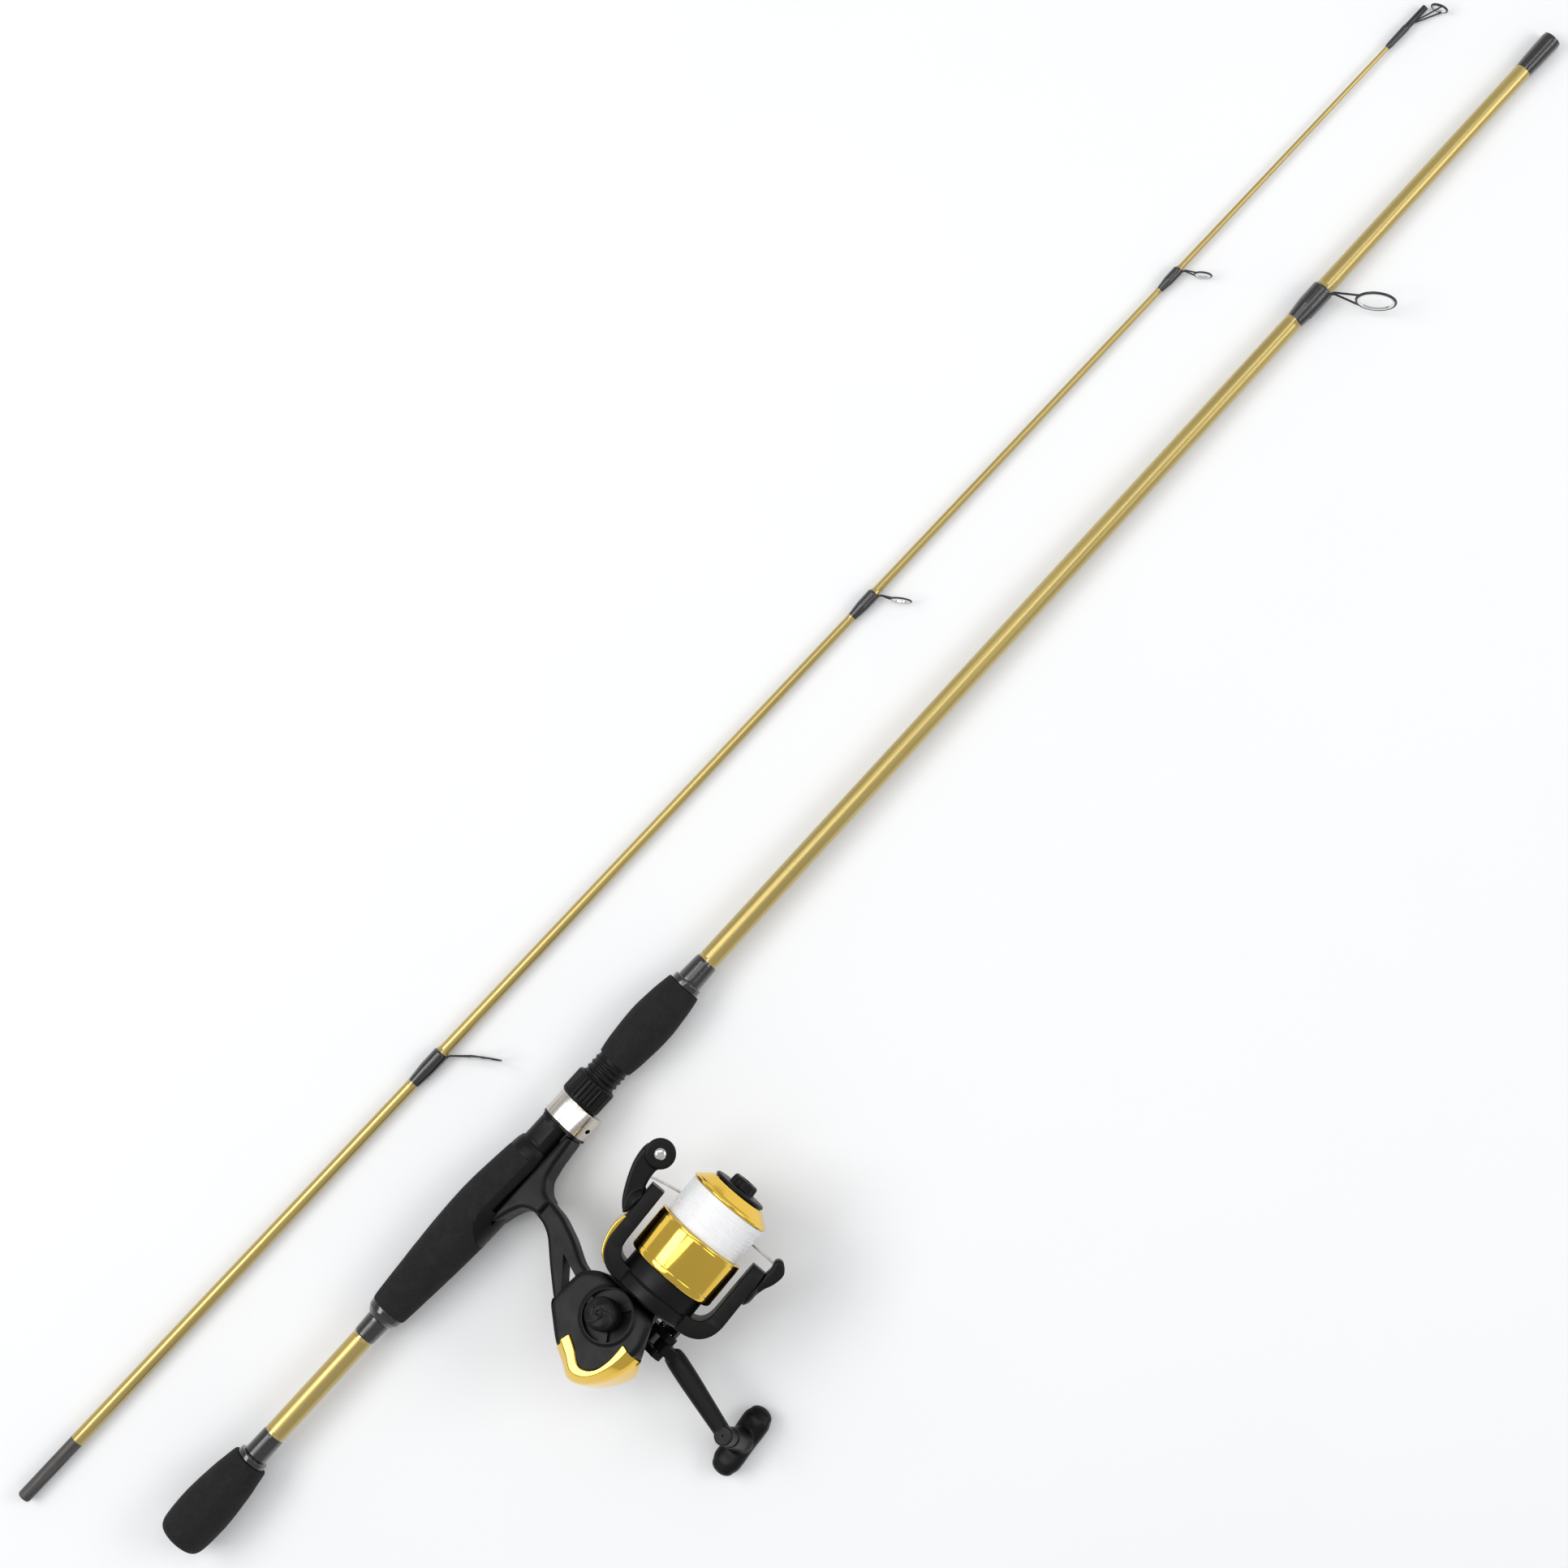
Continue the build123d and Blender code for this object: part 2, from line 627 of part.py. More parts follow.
with BuildPart() as rear_cover:
    with BuildSketch(Plane.XZ):
        add(body_outline.sketch)
        add(outline_face(Plane.XZ, COVER_EDGE), mode=Mode.INTERSECT)
    extrude(amount=COVER_HALF, both=True)
    fillet(rear_cover.faces().sort_by(Axis.Y)[0].edges().sort_by(Axis.X)[:3], radius=2.5)
    fillet(rear_cover.faces().sort_by(Axis.Y)[-1].edges().sort_by(Axis.X)[:3], radius=2.5)
    extrude(inner_outline.sketch, amount=BODY_HALF - 1.85, both=True, mode=Mode.SUBTRACT)
    extrude(underside, amount=60, mode=Mode.SUBTRACT)
rear_cover.part.label = "rear_cover"
export_step(rear_cover.part.moved(butt_frame), "parts/rear_cover.step")


# ---- reel: side cover, bearings and gears -------------------------------------------------
with BuildPart() as side_cover:
    with BuildSketch(Plane.XZ.offset(-CAVITY_LEDGE - 0.05)):
        with BuildLine():
            Polyline(*CAVITY, close=True)
        make_face()
        offset(amount=1.2, kind=Kind.INTERSECTION)
    extrude(amount=-BODY_HALF + CAVITY_LEDGE + 0.05)
    lip = outline_face(Plane.XZ.offset(-BODY_HALF + 1.95), COVER_EDGE)
    extrude(lip, amount=-10, mode=Mode.SUBTRACT)
    with BuildSketch(Plane.XZ.offset(-CAVITY_LEDGE + 1)):
        with Locations((DRIVE_X, -DRIVE_DEPTH)):
            Circle(6.5)
    extrude(amount=-BODY_HALF + CAVITY_LEDGE - 1)
    with BuildSketch(Plane.XZ.offset(-CAVITY_LEDGE + 2)):
        with Locations((DRIVE_X, -DRIVE_DEPTH)):
            Circle(4.52)
    extrude(amount=-20, mode=Mode.SUBTRACT)
    with BuildSketch(Plane.XZ.offset(-CAVITY_LEDGE)):
        with Locations(*screw_spots):
            Circle(1.15)
    extrude(amount=-20, mode=Mode.SUBTRACT)
    # Stub that the oscillation gear turns on.
    with BuildSketch(Plane.XZ.offset(-8)):
        with Locations((OSCILLATION_X, -DRIVE_DEPTH)):
            Circle(1.5)
    extrude(amount=-6)
side_cover.part.label = "side_cover"
export_step(side_cover.part.moved(butt_frame), "parts/side_cover.step")

with BuildPart() as cover_screws:
    with BuildSketch(Plane.XZ.offset(-8)):
        with Locations(*screw_spots):
            Circle(1.1)
    extrude(amount=-BODY_HALF + 8)
    with BuildSketch(Plane.XZ.offset(-BODY_HALF)):
        with Locations(*screw_spots):
            Circle(2.1)
    extrude(amount=-1.1)
    with BuildSketch(Plane.XZ.offset(-BODY_HALF - 1.1)):
        with Locations(*screw_spots):
            Rectangle(2.4, 0.6)
            Rectangle(0.6, 2.4)
    extrude(amount=0.6, mode=Mode.SUBTRACT)
cover_screws.part.label = "cover_screws"
export_step(cover_screws.part.moved(butt_frame), "parts/cover_screws.step")

with BuildPart() as drive_bushes:
    for face, depth in ((-11.0, -6.4), (13.3, 4.6)):
        with BuildSketch(Plane.XZ.offset(-face)):
            with Locations((DRIVE_X, -DRIVE_DEPTH)):
                Circle(4.5)
                Circle(3.05, mode=Mode.SUBTRACT)
        extrude(amount=-depth)
drive_bushes.part.label = "drive_bushes"
export_step(drive_bushes.part.moved(butt_frame), "parts/drive_bushes.step")

with BuildPart() as pinion_bearing:
    revolve(ring_section([(250.6, 7.0), (255.6, 7.0)], PINION_R + 0.05), axis=Axis.X)
pinion_bearing.part.label = "pinion_bearing"
export_step(pinion_bearing.part.moved(spool_frame), "parts/pinion_bearing.step")


def crank_disc(radius, face, thickness, teeth=0, tooth=0.0):
    """Disc about the crank axis from the given side distance outwards, with straight teeth."""
    with BuildPart() as disc:
        with BuildSketch(Plane.XZ.offset(-face)):
            with Locations((DRIVE_X, -DRIVE_DEPTH)):
                Circle(radius)
                if teeth:
                    with PolarLocations(radius + tooth / 2 - 0.1, teeth):
                        Rectangle(tooth + 0.2, math.pi * radius / teeth * 0.9)
        extrude(amount=-thickness)
    return disc.part


with BuildPart() as drive_gear:
    add(crank_disc(3.0, -22.5, 19.5))
    add(crank_disc(2.3, -3.1, 6.2))
    add(crank_disc(3.0, 3.0, 17.5))
    add(crank_disc(DRIVE_GEAR_R, 5.6, 2.4))
    add(crank_disc(5.9, 7.9, 2.7, HUB_TEETH, 0.6))
    # Face teeth towards the pinion.
    with BuildSketch(Plane.XZ.offset(-5.7)):
        with Locations((DRIVE_X, -DRIVE_DEPTH)):
            with PolarLocations(DRIVE_GEAR_R - 2.2, DRIVE_GEAR_TEETH):
                Rectangle(4, 0.55)
    extrude(amount=1.1)
drive_gear.part.label = "drive_gear"
export_step(drive_gear.part.moved(butt_frame), "parts/drive_gear.step")

with BuildPart() as oscillation_gear:
    with BuildSketch(Plane.XZ.offset(-8.3)):
        with Locations((OSCILLATION_X, -DRIVE_DEPTH)):
            Circle(8.9)
            with PolarLocations(9.1, OSCILLATION_TEETH):
                Rectangle(0.8, 0.6)
            Circle(1.56, mode=Mode.SUBTRACT)
    extrude(amount=-2.0)
    with BuildSketch(Plane.XZ.offset(-8.4)):
        with Locations((OSCILLATION_X, -DRIVE_DEPTH - 6)):
            Circle(1.2)
    extrude(amount=3.2)
oscillation_gear.part.label = "oscillation_gear"
export_step(oscillation_gear.part.moved(butt_frame), "parts/oscillation_gear.step")

with BuildPart() as shaft_cap:
    with BuildSketch(Plane.XZ.offset(19.3)):
        with Locations((DRIVE_X, -DRIVE_DEPTH)):
            Circle(8.2)
            with PolarLocations(8.35, 30):
                Circle(0.4, mode=Mode.SUBTRACT)
    extrude(amount=7.5)
    with BuildSketch(Plane.XZ.offset(26.8)):
        with Locations((DRIVE_X, -DRIVE_DEPTH)):
            Circle(8.1)
    extrude(amount=3.2, taper=18)
    with BuildSketch(Plane.XZ.offset(19)):
        with Locations((DRIVE_X, -DRIVE_DEPTH)):
            Circle(3.02)
    extrude(amount=3.6, mode=Mode.SUBTRACT)
shaft_cap.part.label = "shaft_cap"
export_step(shaft_cap.part.moved(butt_frame), "parts/shaft_cap.step")

# ---- reel: pinion, main shaft and rotor ---------------------------------------------------
with BuildPart() as pinion:
    sleeve = [(238.8, 3.5), (244.4, 3.5), (244.4, PINION_R), (263.4, PINION_R)]
    revolve(ring_section(sleeve, 2.06), axis=Axis.X)
    with BuildSketch(Plane.YZ.offset(238.8)):
        with PolarLocations(3.75, PINION_TEETH):
            Rectangle(0.9, 1.1)
    extrude(amount=5)
pinion.part.label = "pinion"
export_step(pinion.part.moved(spool_frame), "parts/pinion.step")

with BuildPart() as main_shaft:
    revolve(ring_section([(209.5, 1.7), (210, SHAFT_R), (318, SHAFT_R), (318.5, 1.7)], 0), axis=Axis.X)
main_shaft.part.label = "main_shaft"
export_step(main_shaft.part.moved(spool_frame), "parts/main_shaft.step")

with BuildPart() as oscillation_slider:
    with Locations((216, 0.4, 0)):
        Box(9, 8.4, 9)
    with BuildSketch(Plane.YZ.offset(205)):
        Circle(SHAFT_R + GLUE_GAP)
    extrude(amount=30, mode=Mode.SUBTRACT)
    # Cross slot that faces the oscillation gear's pin.
    with Locations((216, 4.2, 0)):
        Box(2.8, 3, 12, mode=Mode.SUBTRACT)
oscillation_slider.part.label = "oscillation_slider"
export_step(oscillation_slider.part.moved(spool_frame), "parts/oscillation_slider.step")

ARM_INNER_R = 27.3
with BuildPart() as rotor:
    # Cross bar and the two arms.
    with BuildSketch(Plane.XZ):
        with Locations((ROTOR_BACK + 40, 0)):
            RectangleRounded(80, 2 * ROTOR_ARM_R, 11)
        with Locations((ROTOR_BACK + 9 + 40, 0)):
            RectangleRounded(80, 2 * ARM_INNER_R, 6, mode=Mode.SUBTRACT)
        with Locations((ROTOR_ARM_END + 30, 0)):
            Rectangle(60, 80, mode=Mode.SUBTRACT)
    extrude(amount=11, both=True)
    with BuildSketch(Plane.XY):
        with BuildLine():
            Polyline((246, -10), (262, -9.5), (280, -7.5), (290, -6.2), (295, -3.5), (295, 3.5), (290, 6.2))
            Polyline((290, 6.2), (280, 7.5), (262, 9.5), (246, 10), (246, -10))
        make_face()
    extrude(amount=50, both=True, mode=Mode.INTERSECT)
    # Cup that the spool skirt covers, and the hub on the pinion.
    cup = [
        (249, 17.5),
        (251, CUP_R),
        (264, CUP_R),
        (264, CUP_R - 2),
        (260.5, CUP_R - 2),
        (260.5, 8),
        (258, 8),
    ]
    cup += [(258, CUP_R - 2), (251.5, CUP_R - 2), (251.5, 10.4), (249, 10.4)]
    with BuildSketch(Plane.XY):
        with BuildLine():
            Polyline(*cup, close=True)
        make_face()
    revolve(axis=Axis.X)
    with BuildSketch(Plane.YZ.offset(246)):
        Circle(10.4)
    extrude(amount=12, mode=Mode.SUBTRACT)
    revolve(ring_section([(258, 10.5), (260.5, 10.5)], PINION_R + GLUE_GAP), axis=Axis.X)
    # Bores for the bail's two pivots.
    with BuildSketch(Plane.XY.offset(-40)):
        with Locations((BAIL_PIVOT_X, 0)):
            Circle(1.95)
    extrude(amount=80, mode=Mode.SUBTRACT)
rotor.part.label = "rotor"
export_step(rotor.part.moved(rotor_frame), "parts/rotor.step")

with BuildPart() as rotor_nut:
    with BuildSketch(Plane.YZ.offset(260.52)):
        RegularPolygon(5.2, 6)
        Circle(PINION_R + GLUE_GAP, mode=Mode.SUBTRACT)
    extrude(amount=2.7)
rotor_nut.part.label = "rotor_nut"
export_step(rotor_nut.part.moved(spool_frame), "parts/rotor_nut.step")

with BuildPart() as rotor_arm_cover:
    with BuildSketch(Plane.XZ):
        with Locations((ROTOR_BACK + 40 - 0.6, 0)):
            RectangleRounded(80, 2 * ROTOR_ARM_R + 2.4, 12)
        with Locations((ROTOR_BACK + 40, 0)):
            RectangleRounded(80, 2 * ROTOR_ARM_R + 0.04, 11.02, mode=Mode.SUBTRACT)
        with Locations((300, 0)):
            Rectangle(55, 100, mode=Mode.SUBTRACT)
        with Locations((270, -23.5)):
            Rectangle(80, 100, mode=Mode.SUBTRACT)
    extrude(amount=8.5, both=True)
rotor_arm_cover.part.label = "rotor_arm_cover"
export_step(rotor_arm_cover.part.moved(rotor_frame), "parts/rotor_arm_cover.step")

# ---- reel: bail ---------------------------------------------------------------------------
ROLLER = (305.6, 40.5)
with BuildPart() as bail_arm:
    with BuildSketch(Plane.XZ):
        with BuildLine():
            Polyline((273.5, 35.6), (279, 35), (293.5, 35), (298.5, 37), (301, 35.2), (306, 38), (306, 47))
            Polyline((306, 47), (299, 46.6), (289, 43.2), (280, 39.4), (273.5, 35.6))
        make_face()
    extrude(amount=3.6, both=True)
    with BuildSketch(Plane.XZ.offset(2.4)):
        with Locations(ROLLER):
            Circle(6.8)
    extrude(amount=3.4)
    with BuildSketch(Plane.XZ.offset(2.4)):
        with Locations(ROLLER):
            Circle(7.4)
    extrude(amount=-9, mode=Mode.SUBTRACT)
    with BuildSketch(Plane.XZ.offset(7)):
        with Locations(ROLLER):
            Circle(1.52)
    extrude(amount=-9, mode=Mode.SUBTRACT)
    with BuildSketch(Plane.XY.offset(30)):
        with Locations((BAIL_PIVOT_X, 0)):
            Circle(1.88)
    extrude(amount=6)
bail_arm.part.label = "bail_arm"
export_step(bail_arm.part.moved(rotor_frame), "parts/bail_arm.step")

with BuildPart() as roller_screw:
    with BuildSketch(Plane.XZ.offset(5.8)):
        with Locations(ROLLER):
            Circle(2.7)
    extrude(amount=0.9)
    with BuildSketch(Plane.XZ.offset(6.7)):
        with Locations(ROLLER):
            Rectangle(3.6, 0.7)
            Rectangle(0.7, 3.6)
    extrude(amount=-0.5, mode=Mode.SUBTRACT)
    with BuildSketch(Plane.XZ.offset(5.8)):
        with Locations(ROLLER):
            Circle(1.5)
    extrude(amount=-10.5)
roller_screw.part.label = "roller_screw"
export_step(roller_screw.part.moved(rotor_frame), "parts/roller_screw.step")

with BuildPart() as line_roller:
    with BuildSketch(Plane.XY):
        with BuildLine():
            Polyline((1.56, -2.0), (5.6, -2.0), (5.6, -1.4), (4.2, -0.4))
            Line((4.2, -0.4), (4.2, 0.4))
            Polyline((4.2, 0.4), (5.6, 1.4), (5.6, 2.0))
            Polyline((5.6, 2.0), (1.56, 2.0), (1.56, -2.0))
        make_face()
    revolve(axis=Axis.Y)
line_roller.part.label = "line_roller"
roller_place = rotor_frame * Pos(ROLLER[0], 0, ROLLER[1])
export_step(line_roller.part.moved(roller_place), "parts/line_roller.step")

BAIL_ROUTE = [
    (299.5, 3, -38.5),
    (299.5, 22, -35.5),
    (297.5, 41, -22),
    (297, 46.5, 0),
    (295.5, 41, 22),
    (292.6, 25, 33.5),
    (293.6, 12, 38.6),
    (304, 5.2, 40.5),
]
with BuildPart() as bail_wire:
    add(wire(BAIL_ROUTE, WIRE_R))
    with BuildSketch(Plane.XZ.offset(-2.3)):
        with Locations(ROLLER):
            Circle(6.2)
    extrude(amount=-3.4, taper=25)
    with BuildSketch(Plane.XZ.offset(-1)):
        with Locations(ROLLER):
            Circle(1.52)
    extrude(amount=-3.8, mode=Mode.SUBTRACT)
bail_wire.part.label = "bail_wire"
export_step(bail_wire.part.moved(rotor_frame), "parts/bail_wire.step")

with BuildPart() as bail_lever:
    with BuildSketch(Plane.XZ):
        with BuildLine():
            Polyline((276.5, -35), (292, -35), (297, -36.5), (302, -36.2), (303.5, -38.5), (302, -41.5))
            Polyline((302, -41.5), (298, -42), (289, -38.8), (280, -37.8), (276.5, -35))
        make_face()
    extrude(amount=4, both=True)
    add(bail_wire.part, mode=Mode.SUBTRACT)
    with BuildSketch(Plane.XY.offset(-30)):
        with Locations((BAIL_PIVOT_X, 0)):
            Circle(1.88)
    extrude(amount=-6)
bail_lever.part.label = "bail_lever"
export_step(bail_lever.part.moved(rotor_frame), "parts/bail_lever.step")

# ---- reel: spool --------------------------------------------------------------------------
with BuildPart() as spool:
    with BuildSketch(Plane.XY):
        with BuildLine():
            Polyline(
                (264, 22.2), (264, 23.4), (264.6, SKIRT_R), (287.2, SKIRT_R), (288, 23.0), (288, ARBOR_R),
                (308, ARBOR_R), (308, 21.0), (308.4, LIP_R), (309.6, LIP_R), (310.4, 20.8), (315, 14.6),
                (315, 12.2), (305.5, 12.2), (305.5, 2.06), (269, 2.06), (269, 6), (285.4, 6), (285.4, 22.2),
                close=True,
            )
        make_face()
    revolve(axis=Axis.X)
spool.part.label = "spool"
export_step(spool.part.moved(spool_frame), "parts/spool.step")

with BuildPart() as line_winding:
    wound = [(288.05, 20.6), (291, LINE_R), (298, 21.1), (305, LINE_R), (307.95, 20.5)]
    revolve(ring_section(wound, ARBOR_R + GLUE_GAP), axis=Axis.X)
line_winding.part.label = "line_winding"
export_step(line_winding.part.moved(spool_frame), "parts/line_winding.step")

with BuildPart() as drag_washers:
    for start in (305.55, 307.05, 308.55):
        revolve(ring_section([(start, 11.8), (start + 1.3, 11.8)], 2.1), axis=Axis.X)
drag_washers.part.label = "drag_washers"
export_step(drag_washers.part.moved(spool_frame), "parts/drag_washers.step")

with BuildPart() as drag_knob:
    knob = [(310.4, 11.6), (315.3, 11.6), (315.3, 14.0), (316.1, 14.2), (316.8, 13.6), (317.0, 7.2)]
    knob += [(320.6, 6.6), (321.7, 5.6)]
    revolve(ring_section(knob, 0), axis=Axis.X)
    with BuildSketch(Plane.YZ.offset(310)):
        Circle(2.06)
    extrude(amount=8.8, mode=Mode.SUBTRACT)
    with BuildSketch(Plane.YZ.offset(317.2)):
        with PolarLocations(7.3, 8):
            Circle(1.0)
    extrude(amount=6, mode=Mode.SUBTRACT)
drag_knob.part.label = "drag_knob"
export_step(drag_knob.part.moved(spool_frame), "parts/drag_knob.step")

# ---- reel: handle -------------------------------------------------------------------------
TONGUE_W = 6.0
with BuildPart() as handle_joint:
    with BuildSketch(Plane.XZ.offset(-19.4)):
        with Locations((DRIVE_X, -DRIVE_DEPTH)):
            Circle(5.6)
    extrude(amount=-12)
    with BuildSketch(Plane.YZ.offset(DRIVE_X - 6.6)):
        with BuildLine():
            Polyline((31, -86), (31.6, -HINGE_DEPTH), (HINGE_OUT - 4.2, -HINGE_DEPTH))
            ThreePointArc(
                (HINGE_OUT - 4.2, -HINGE_DEPTH),
                (HINGE_OUT, -HINGE_DEPTH - 4.2),
                (HINGE_OUT + 4.2, -HINGE_DEPTH),
            )
            Polyline((HINGE_OUT + 4.2, -HINGE_DEPTH), (HINGE_OUT + 4.2, -91), (37, -86), (31, -86))
        make_face()
    extrude(amount=13.2)
    # Slot for the arm's tongue.
    with BuildSketch(Plane.XZ.offset(-25)):
        with Locations((DRIVE_X, -HINGE_DEPTH - 3)):
            Rectangle(TONGUE_W + 0.6, 16)
    extrude(amount=-20, mode=Mode.SUBTRACT)
    # Ear with the clamping screw.
    with BuildSketch(Plane.XZ.offset(-34.6)):
        with Locations((DRIVE_X + 8.5, -HINGE_DEPTH + 3)):
            RectangleRounded(6, 10, 1.5)
    extrude(amount=-4.6)
    with BuildSketch(Plane.XZ.offset(-19)):
        with Locations((DRIVE_X, -DRIVE_DEPTH)):
            Circle(3.02)
    extrude(amount=-1.6, mode=Mode.SUBTRACT)
    with BuildSketch(Plane.YZ.offset(DRIVE_X - 10)):
        with Locations((HINGE_OUT, -HINGE_DEPTH)):
            Circle(1.62)
    extrude(amount=20, mode=Mode.SUBTRACT)
handle_joint.part.label = "handle_joint"
export_step(handle_joint.part.moved(butt_frame), "parts/handle_joint.step")

with BuildPart() as handle_hinge_pin:
    with BuildSketch(Plane.YZ.offset(DRIVE_X - 7.2)):
        with Locations((HINGE_OUT, -HINGE_DEPTH)):
            Circle(1.6)
    extrude(amount=14.4)
handle_hinge_pin.part.label = "handle_hinge_pin"
export_step(handle_hinge_pin.part.moved(butt_frame), "parts/handle_hinge_pin.step")

with BuildPart() as joint_screw:
    with BuildSketch(Plane.XZ.offset(-34.55)):
        with Locations((DRIVE_X + 8.5, -HINGE_DEPTH + 5)):
            Circle(1.75)
    extrude(amount=0.9)
    with BuildSketch(Plane.XZ.offset(-33.65)):
        with Locations((DRIVE_X + 8.5, -HINGE_DEPTH + 5)):
            Rectangle(2.2, 0.5)
            Rectangle(0.5, 2.2)
    extrude(amount=-0.4, mode=Mode.SUBTRACT)
joint_screw.part.label = "joint_screw"
export_step(joint_screw.part.moved(butt_frame), "parts/joint_screw.step")

arm_start = Vector(DRIVE_X, HINGE_OUT + 3.8, -HINGE_DEPTH - 8.5)
arm_stop = Vector(ARM_END_X, ARM_END_OUT, -ARM_END_DEPTH)
arm_run = arm_stop - arm_start
with BuildPart() as handle_arm:
    with BuildSketch(Plane(origin=arm_start, x_dir=(1, 0, 0), z_dir=arm_run)) as arm_root:
        Ellipse(5.15, 4.3)
    with BuildSketch(Plane(origin=arm_stop, x_dir=(1, 0, 0), z_dir=arm_run)) as arm_tip:
        Ellipse(4.1, 3.6)
    loft()
    # Tongue round the hinge pin.
    with BuildSketch(Plane.YZ.offset(DRIVE_X - TONGUE_W / 2)):
        with BuildLine():
            Polyline((HINGE_OUT - 3.6, -HINGE_DEPTH), (HINGE_OUT - 3.6, -HINGE_DEPTH - 3))
            Polyline((HINGE_OUT - 3.6, -HINGE_DEPTH - 3), (HINGE_OUT + 1.6, -HINGE_DEPTH - 10.5))
            Polyline((HINGE_OUT + 1.6, -HINGE_DEPTH - 10.5), (HINGE_OUT + 6.6, -HINGE_DEPTH - 9))
            Polyline((HINGE_OUT + 6.6, -HINGE_DEPTH - 9), (HINGE_OUT + 3.6, -HINGE_DEPTH))
            ThreePointArc(
                (HINGE_OUT + 3.6, -HINGE_DEPTH),
                (HINGE_OUT, -HINGE_DEPTH + 3.6),
                (HINGE_OUT - 3.6, -HINGE_DEPTH),
            )
        make_face()
    extrude(amount=TONGUE_W)
    with BuildSketch(Plane.YZ.offset(DRIVE_X - 10)):
        with Locations((HINGE_OUT, -HINGE_DEPTH)):
            Circle(1.66)
    extrude(amount=20, mode=Mode.SUBTRACT)
    # Boss that carries the knob spindle.
    with BuildSketch(Plane.XZ.offset(-ARM_END_OUT + 4.4)):
        with Locations((ARM_END_X, -ARM_END_DEPTH)):
            Circle(4.8)
    extrude(amount=-9)
    with BuildSketch(Plane.XZ.offset(-ARM_END_OUT)):
        with Locations((ARM_END_X, -ARM_END_DEPTH)):
            Circle(2.02)
    extrude(amount=-10, mode=Mode.SUBTRACT)
handle_arm.part.label = "handle_arm"
export_step(handle_arm.part.moved(butt_frame), "parts/handle_arm.step")

with BuildPart() as knob_spindle:
    with BuildSketch(Plane.XZ.offset(-ARM_END_OUT - 0.05)):
        with Locations((ARM_END_X, -ARM_END_DEPTH)):
            Circle(2.0)
    extrude(amount=-20)
knob_spindle.part.label = "knob_spindle"
export_step(knob_spindle.part.moved(butt_frame), "parts/knob_spindle.step")

KNOB_SLOPE = 6.0
with BuildPart() as handle_knob:
    knob_stem = ARM_END_OUT + 5.0
    with BuildSketch(Plane.XZ.offset(-knob_stem)):
        with Locations((ARM_END_X, -ARM_END_DEPTH)):
            Circle(5.3)
    extrude(amount=-(KNOB_BACK + 3 - knob_stem), taper=3)
    with BuildSketch(Plane.XZ.offset(-KNOB_BACK)):
        with Locations(Location((ARM_END_X, -ARM_END_DEPTH, 0), KNOB_SLOPE)):
            SlotOverall(KNOB_LONG, KNOB_WIDE)
    extrude(amount=-(KNOB_FACE - KNOB_BACK))
    fillet(handle_knob.faces().sort_by(Axis.Y)[-1].edges(), radius=3.5)
    with BuildSketch(Plane.XZ.offset(-knob_stem + 1)):
        with Locations((ARM_END_X, -ARM_END_DEPTH)):
            Circle(2.06)
    extrude(amount=-(70.4 - knob_stem + 1), mode=Mode.SUBTRACT)
handle_knob.part.label = "handle_knob"
export_step(handle_knob.part.moved(butt_frame), "parts/handle_knob.step")
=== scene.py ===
import json
import math
import random

import bmesh
import bpy
from mathutils import Matrix, Vector


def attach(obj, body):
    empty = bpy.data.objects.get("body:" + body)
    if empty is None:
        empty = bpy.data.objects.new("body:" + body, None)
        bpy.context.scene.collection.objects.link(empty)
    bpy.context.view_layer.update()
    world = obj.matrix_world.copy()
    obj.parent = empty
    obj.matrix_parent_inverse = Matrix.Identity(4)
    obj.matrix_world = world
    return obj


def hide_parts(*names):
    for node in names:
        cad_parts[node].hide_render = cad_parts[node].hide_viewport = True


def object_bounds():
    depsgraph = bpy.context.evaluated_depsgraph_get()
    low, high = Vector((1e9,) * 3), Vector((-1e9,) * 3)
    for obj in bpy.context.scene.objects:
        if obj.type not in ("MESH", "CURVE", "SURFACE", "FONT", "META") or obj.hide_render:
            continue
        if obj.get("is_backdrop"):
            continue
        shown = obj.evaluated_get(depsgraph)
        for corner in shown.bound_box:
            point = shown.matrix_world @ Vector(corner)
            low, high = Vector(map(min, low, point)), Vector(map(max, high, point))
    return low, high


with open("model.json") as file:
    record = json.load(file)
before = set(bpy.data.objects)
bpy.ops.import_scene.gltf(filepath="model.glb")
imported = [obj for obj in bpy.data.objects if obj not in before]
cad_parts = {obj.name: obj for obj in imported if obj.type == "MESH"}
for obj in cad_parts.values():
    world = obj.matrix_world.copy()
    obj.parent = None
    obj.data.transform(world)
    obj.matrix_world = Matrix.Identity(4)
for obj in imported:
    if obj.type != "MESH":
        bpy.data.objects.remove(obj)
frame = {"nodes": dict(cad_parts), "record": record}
cad_low, cad_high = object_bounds()
record = frame["record"]
joints = {joint["name"]: joint for joint in record["behaviour"]["joints"]}
mounts = {mount["name"]: mount for mount in record["mounts"]}
random.seed(7)

MM = 0.001


# ---- frames -------------------------------------------------------------------------------
def frame_from(x_axis, y_axis, point, place):
    """Frame with those axes in which the given point, in millimetres, is at the given place."""
    x = Vector(x_axis).normalized()
    y = (Vector(y_axis) - x * x.dot(Vector(y_axis))).normalized()
    z = x.cross(y)
    turn = Matrix((x, y, z)).transposed()
    origin = Vector(place) - turn @ (Vector(point) * MM)
    return Matrix.Translation(origin) @ turn.to_4x4()


def seated(point, turn, axis):
    """Place with its origin at the point, in millimetres, turned by that angle about the axis."""
    return Matrix.Translation(Vector(point) * MM) @ Matrix.Rotation(math.radians(turn), 4, axis)


DRIVE = (231.8, -92.0)
HINGE = (36.0, -104.0)
ARM_END = (221.5, 50.0, -154.5)
PIVOT_X = 283.0
ROLLER = (305.6, 40.5)

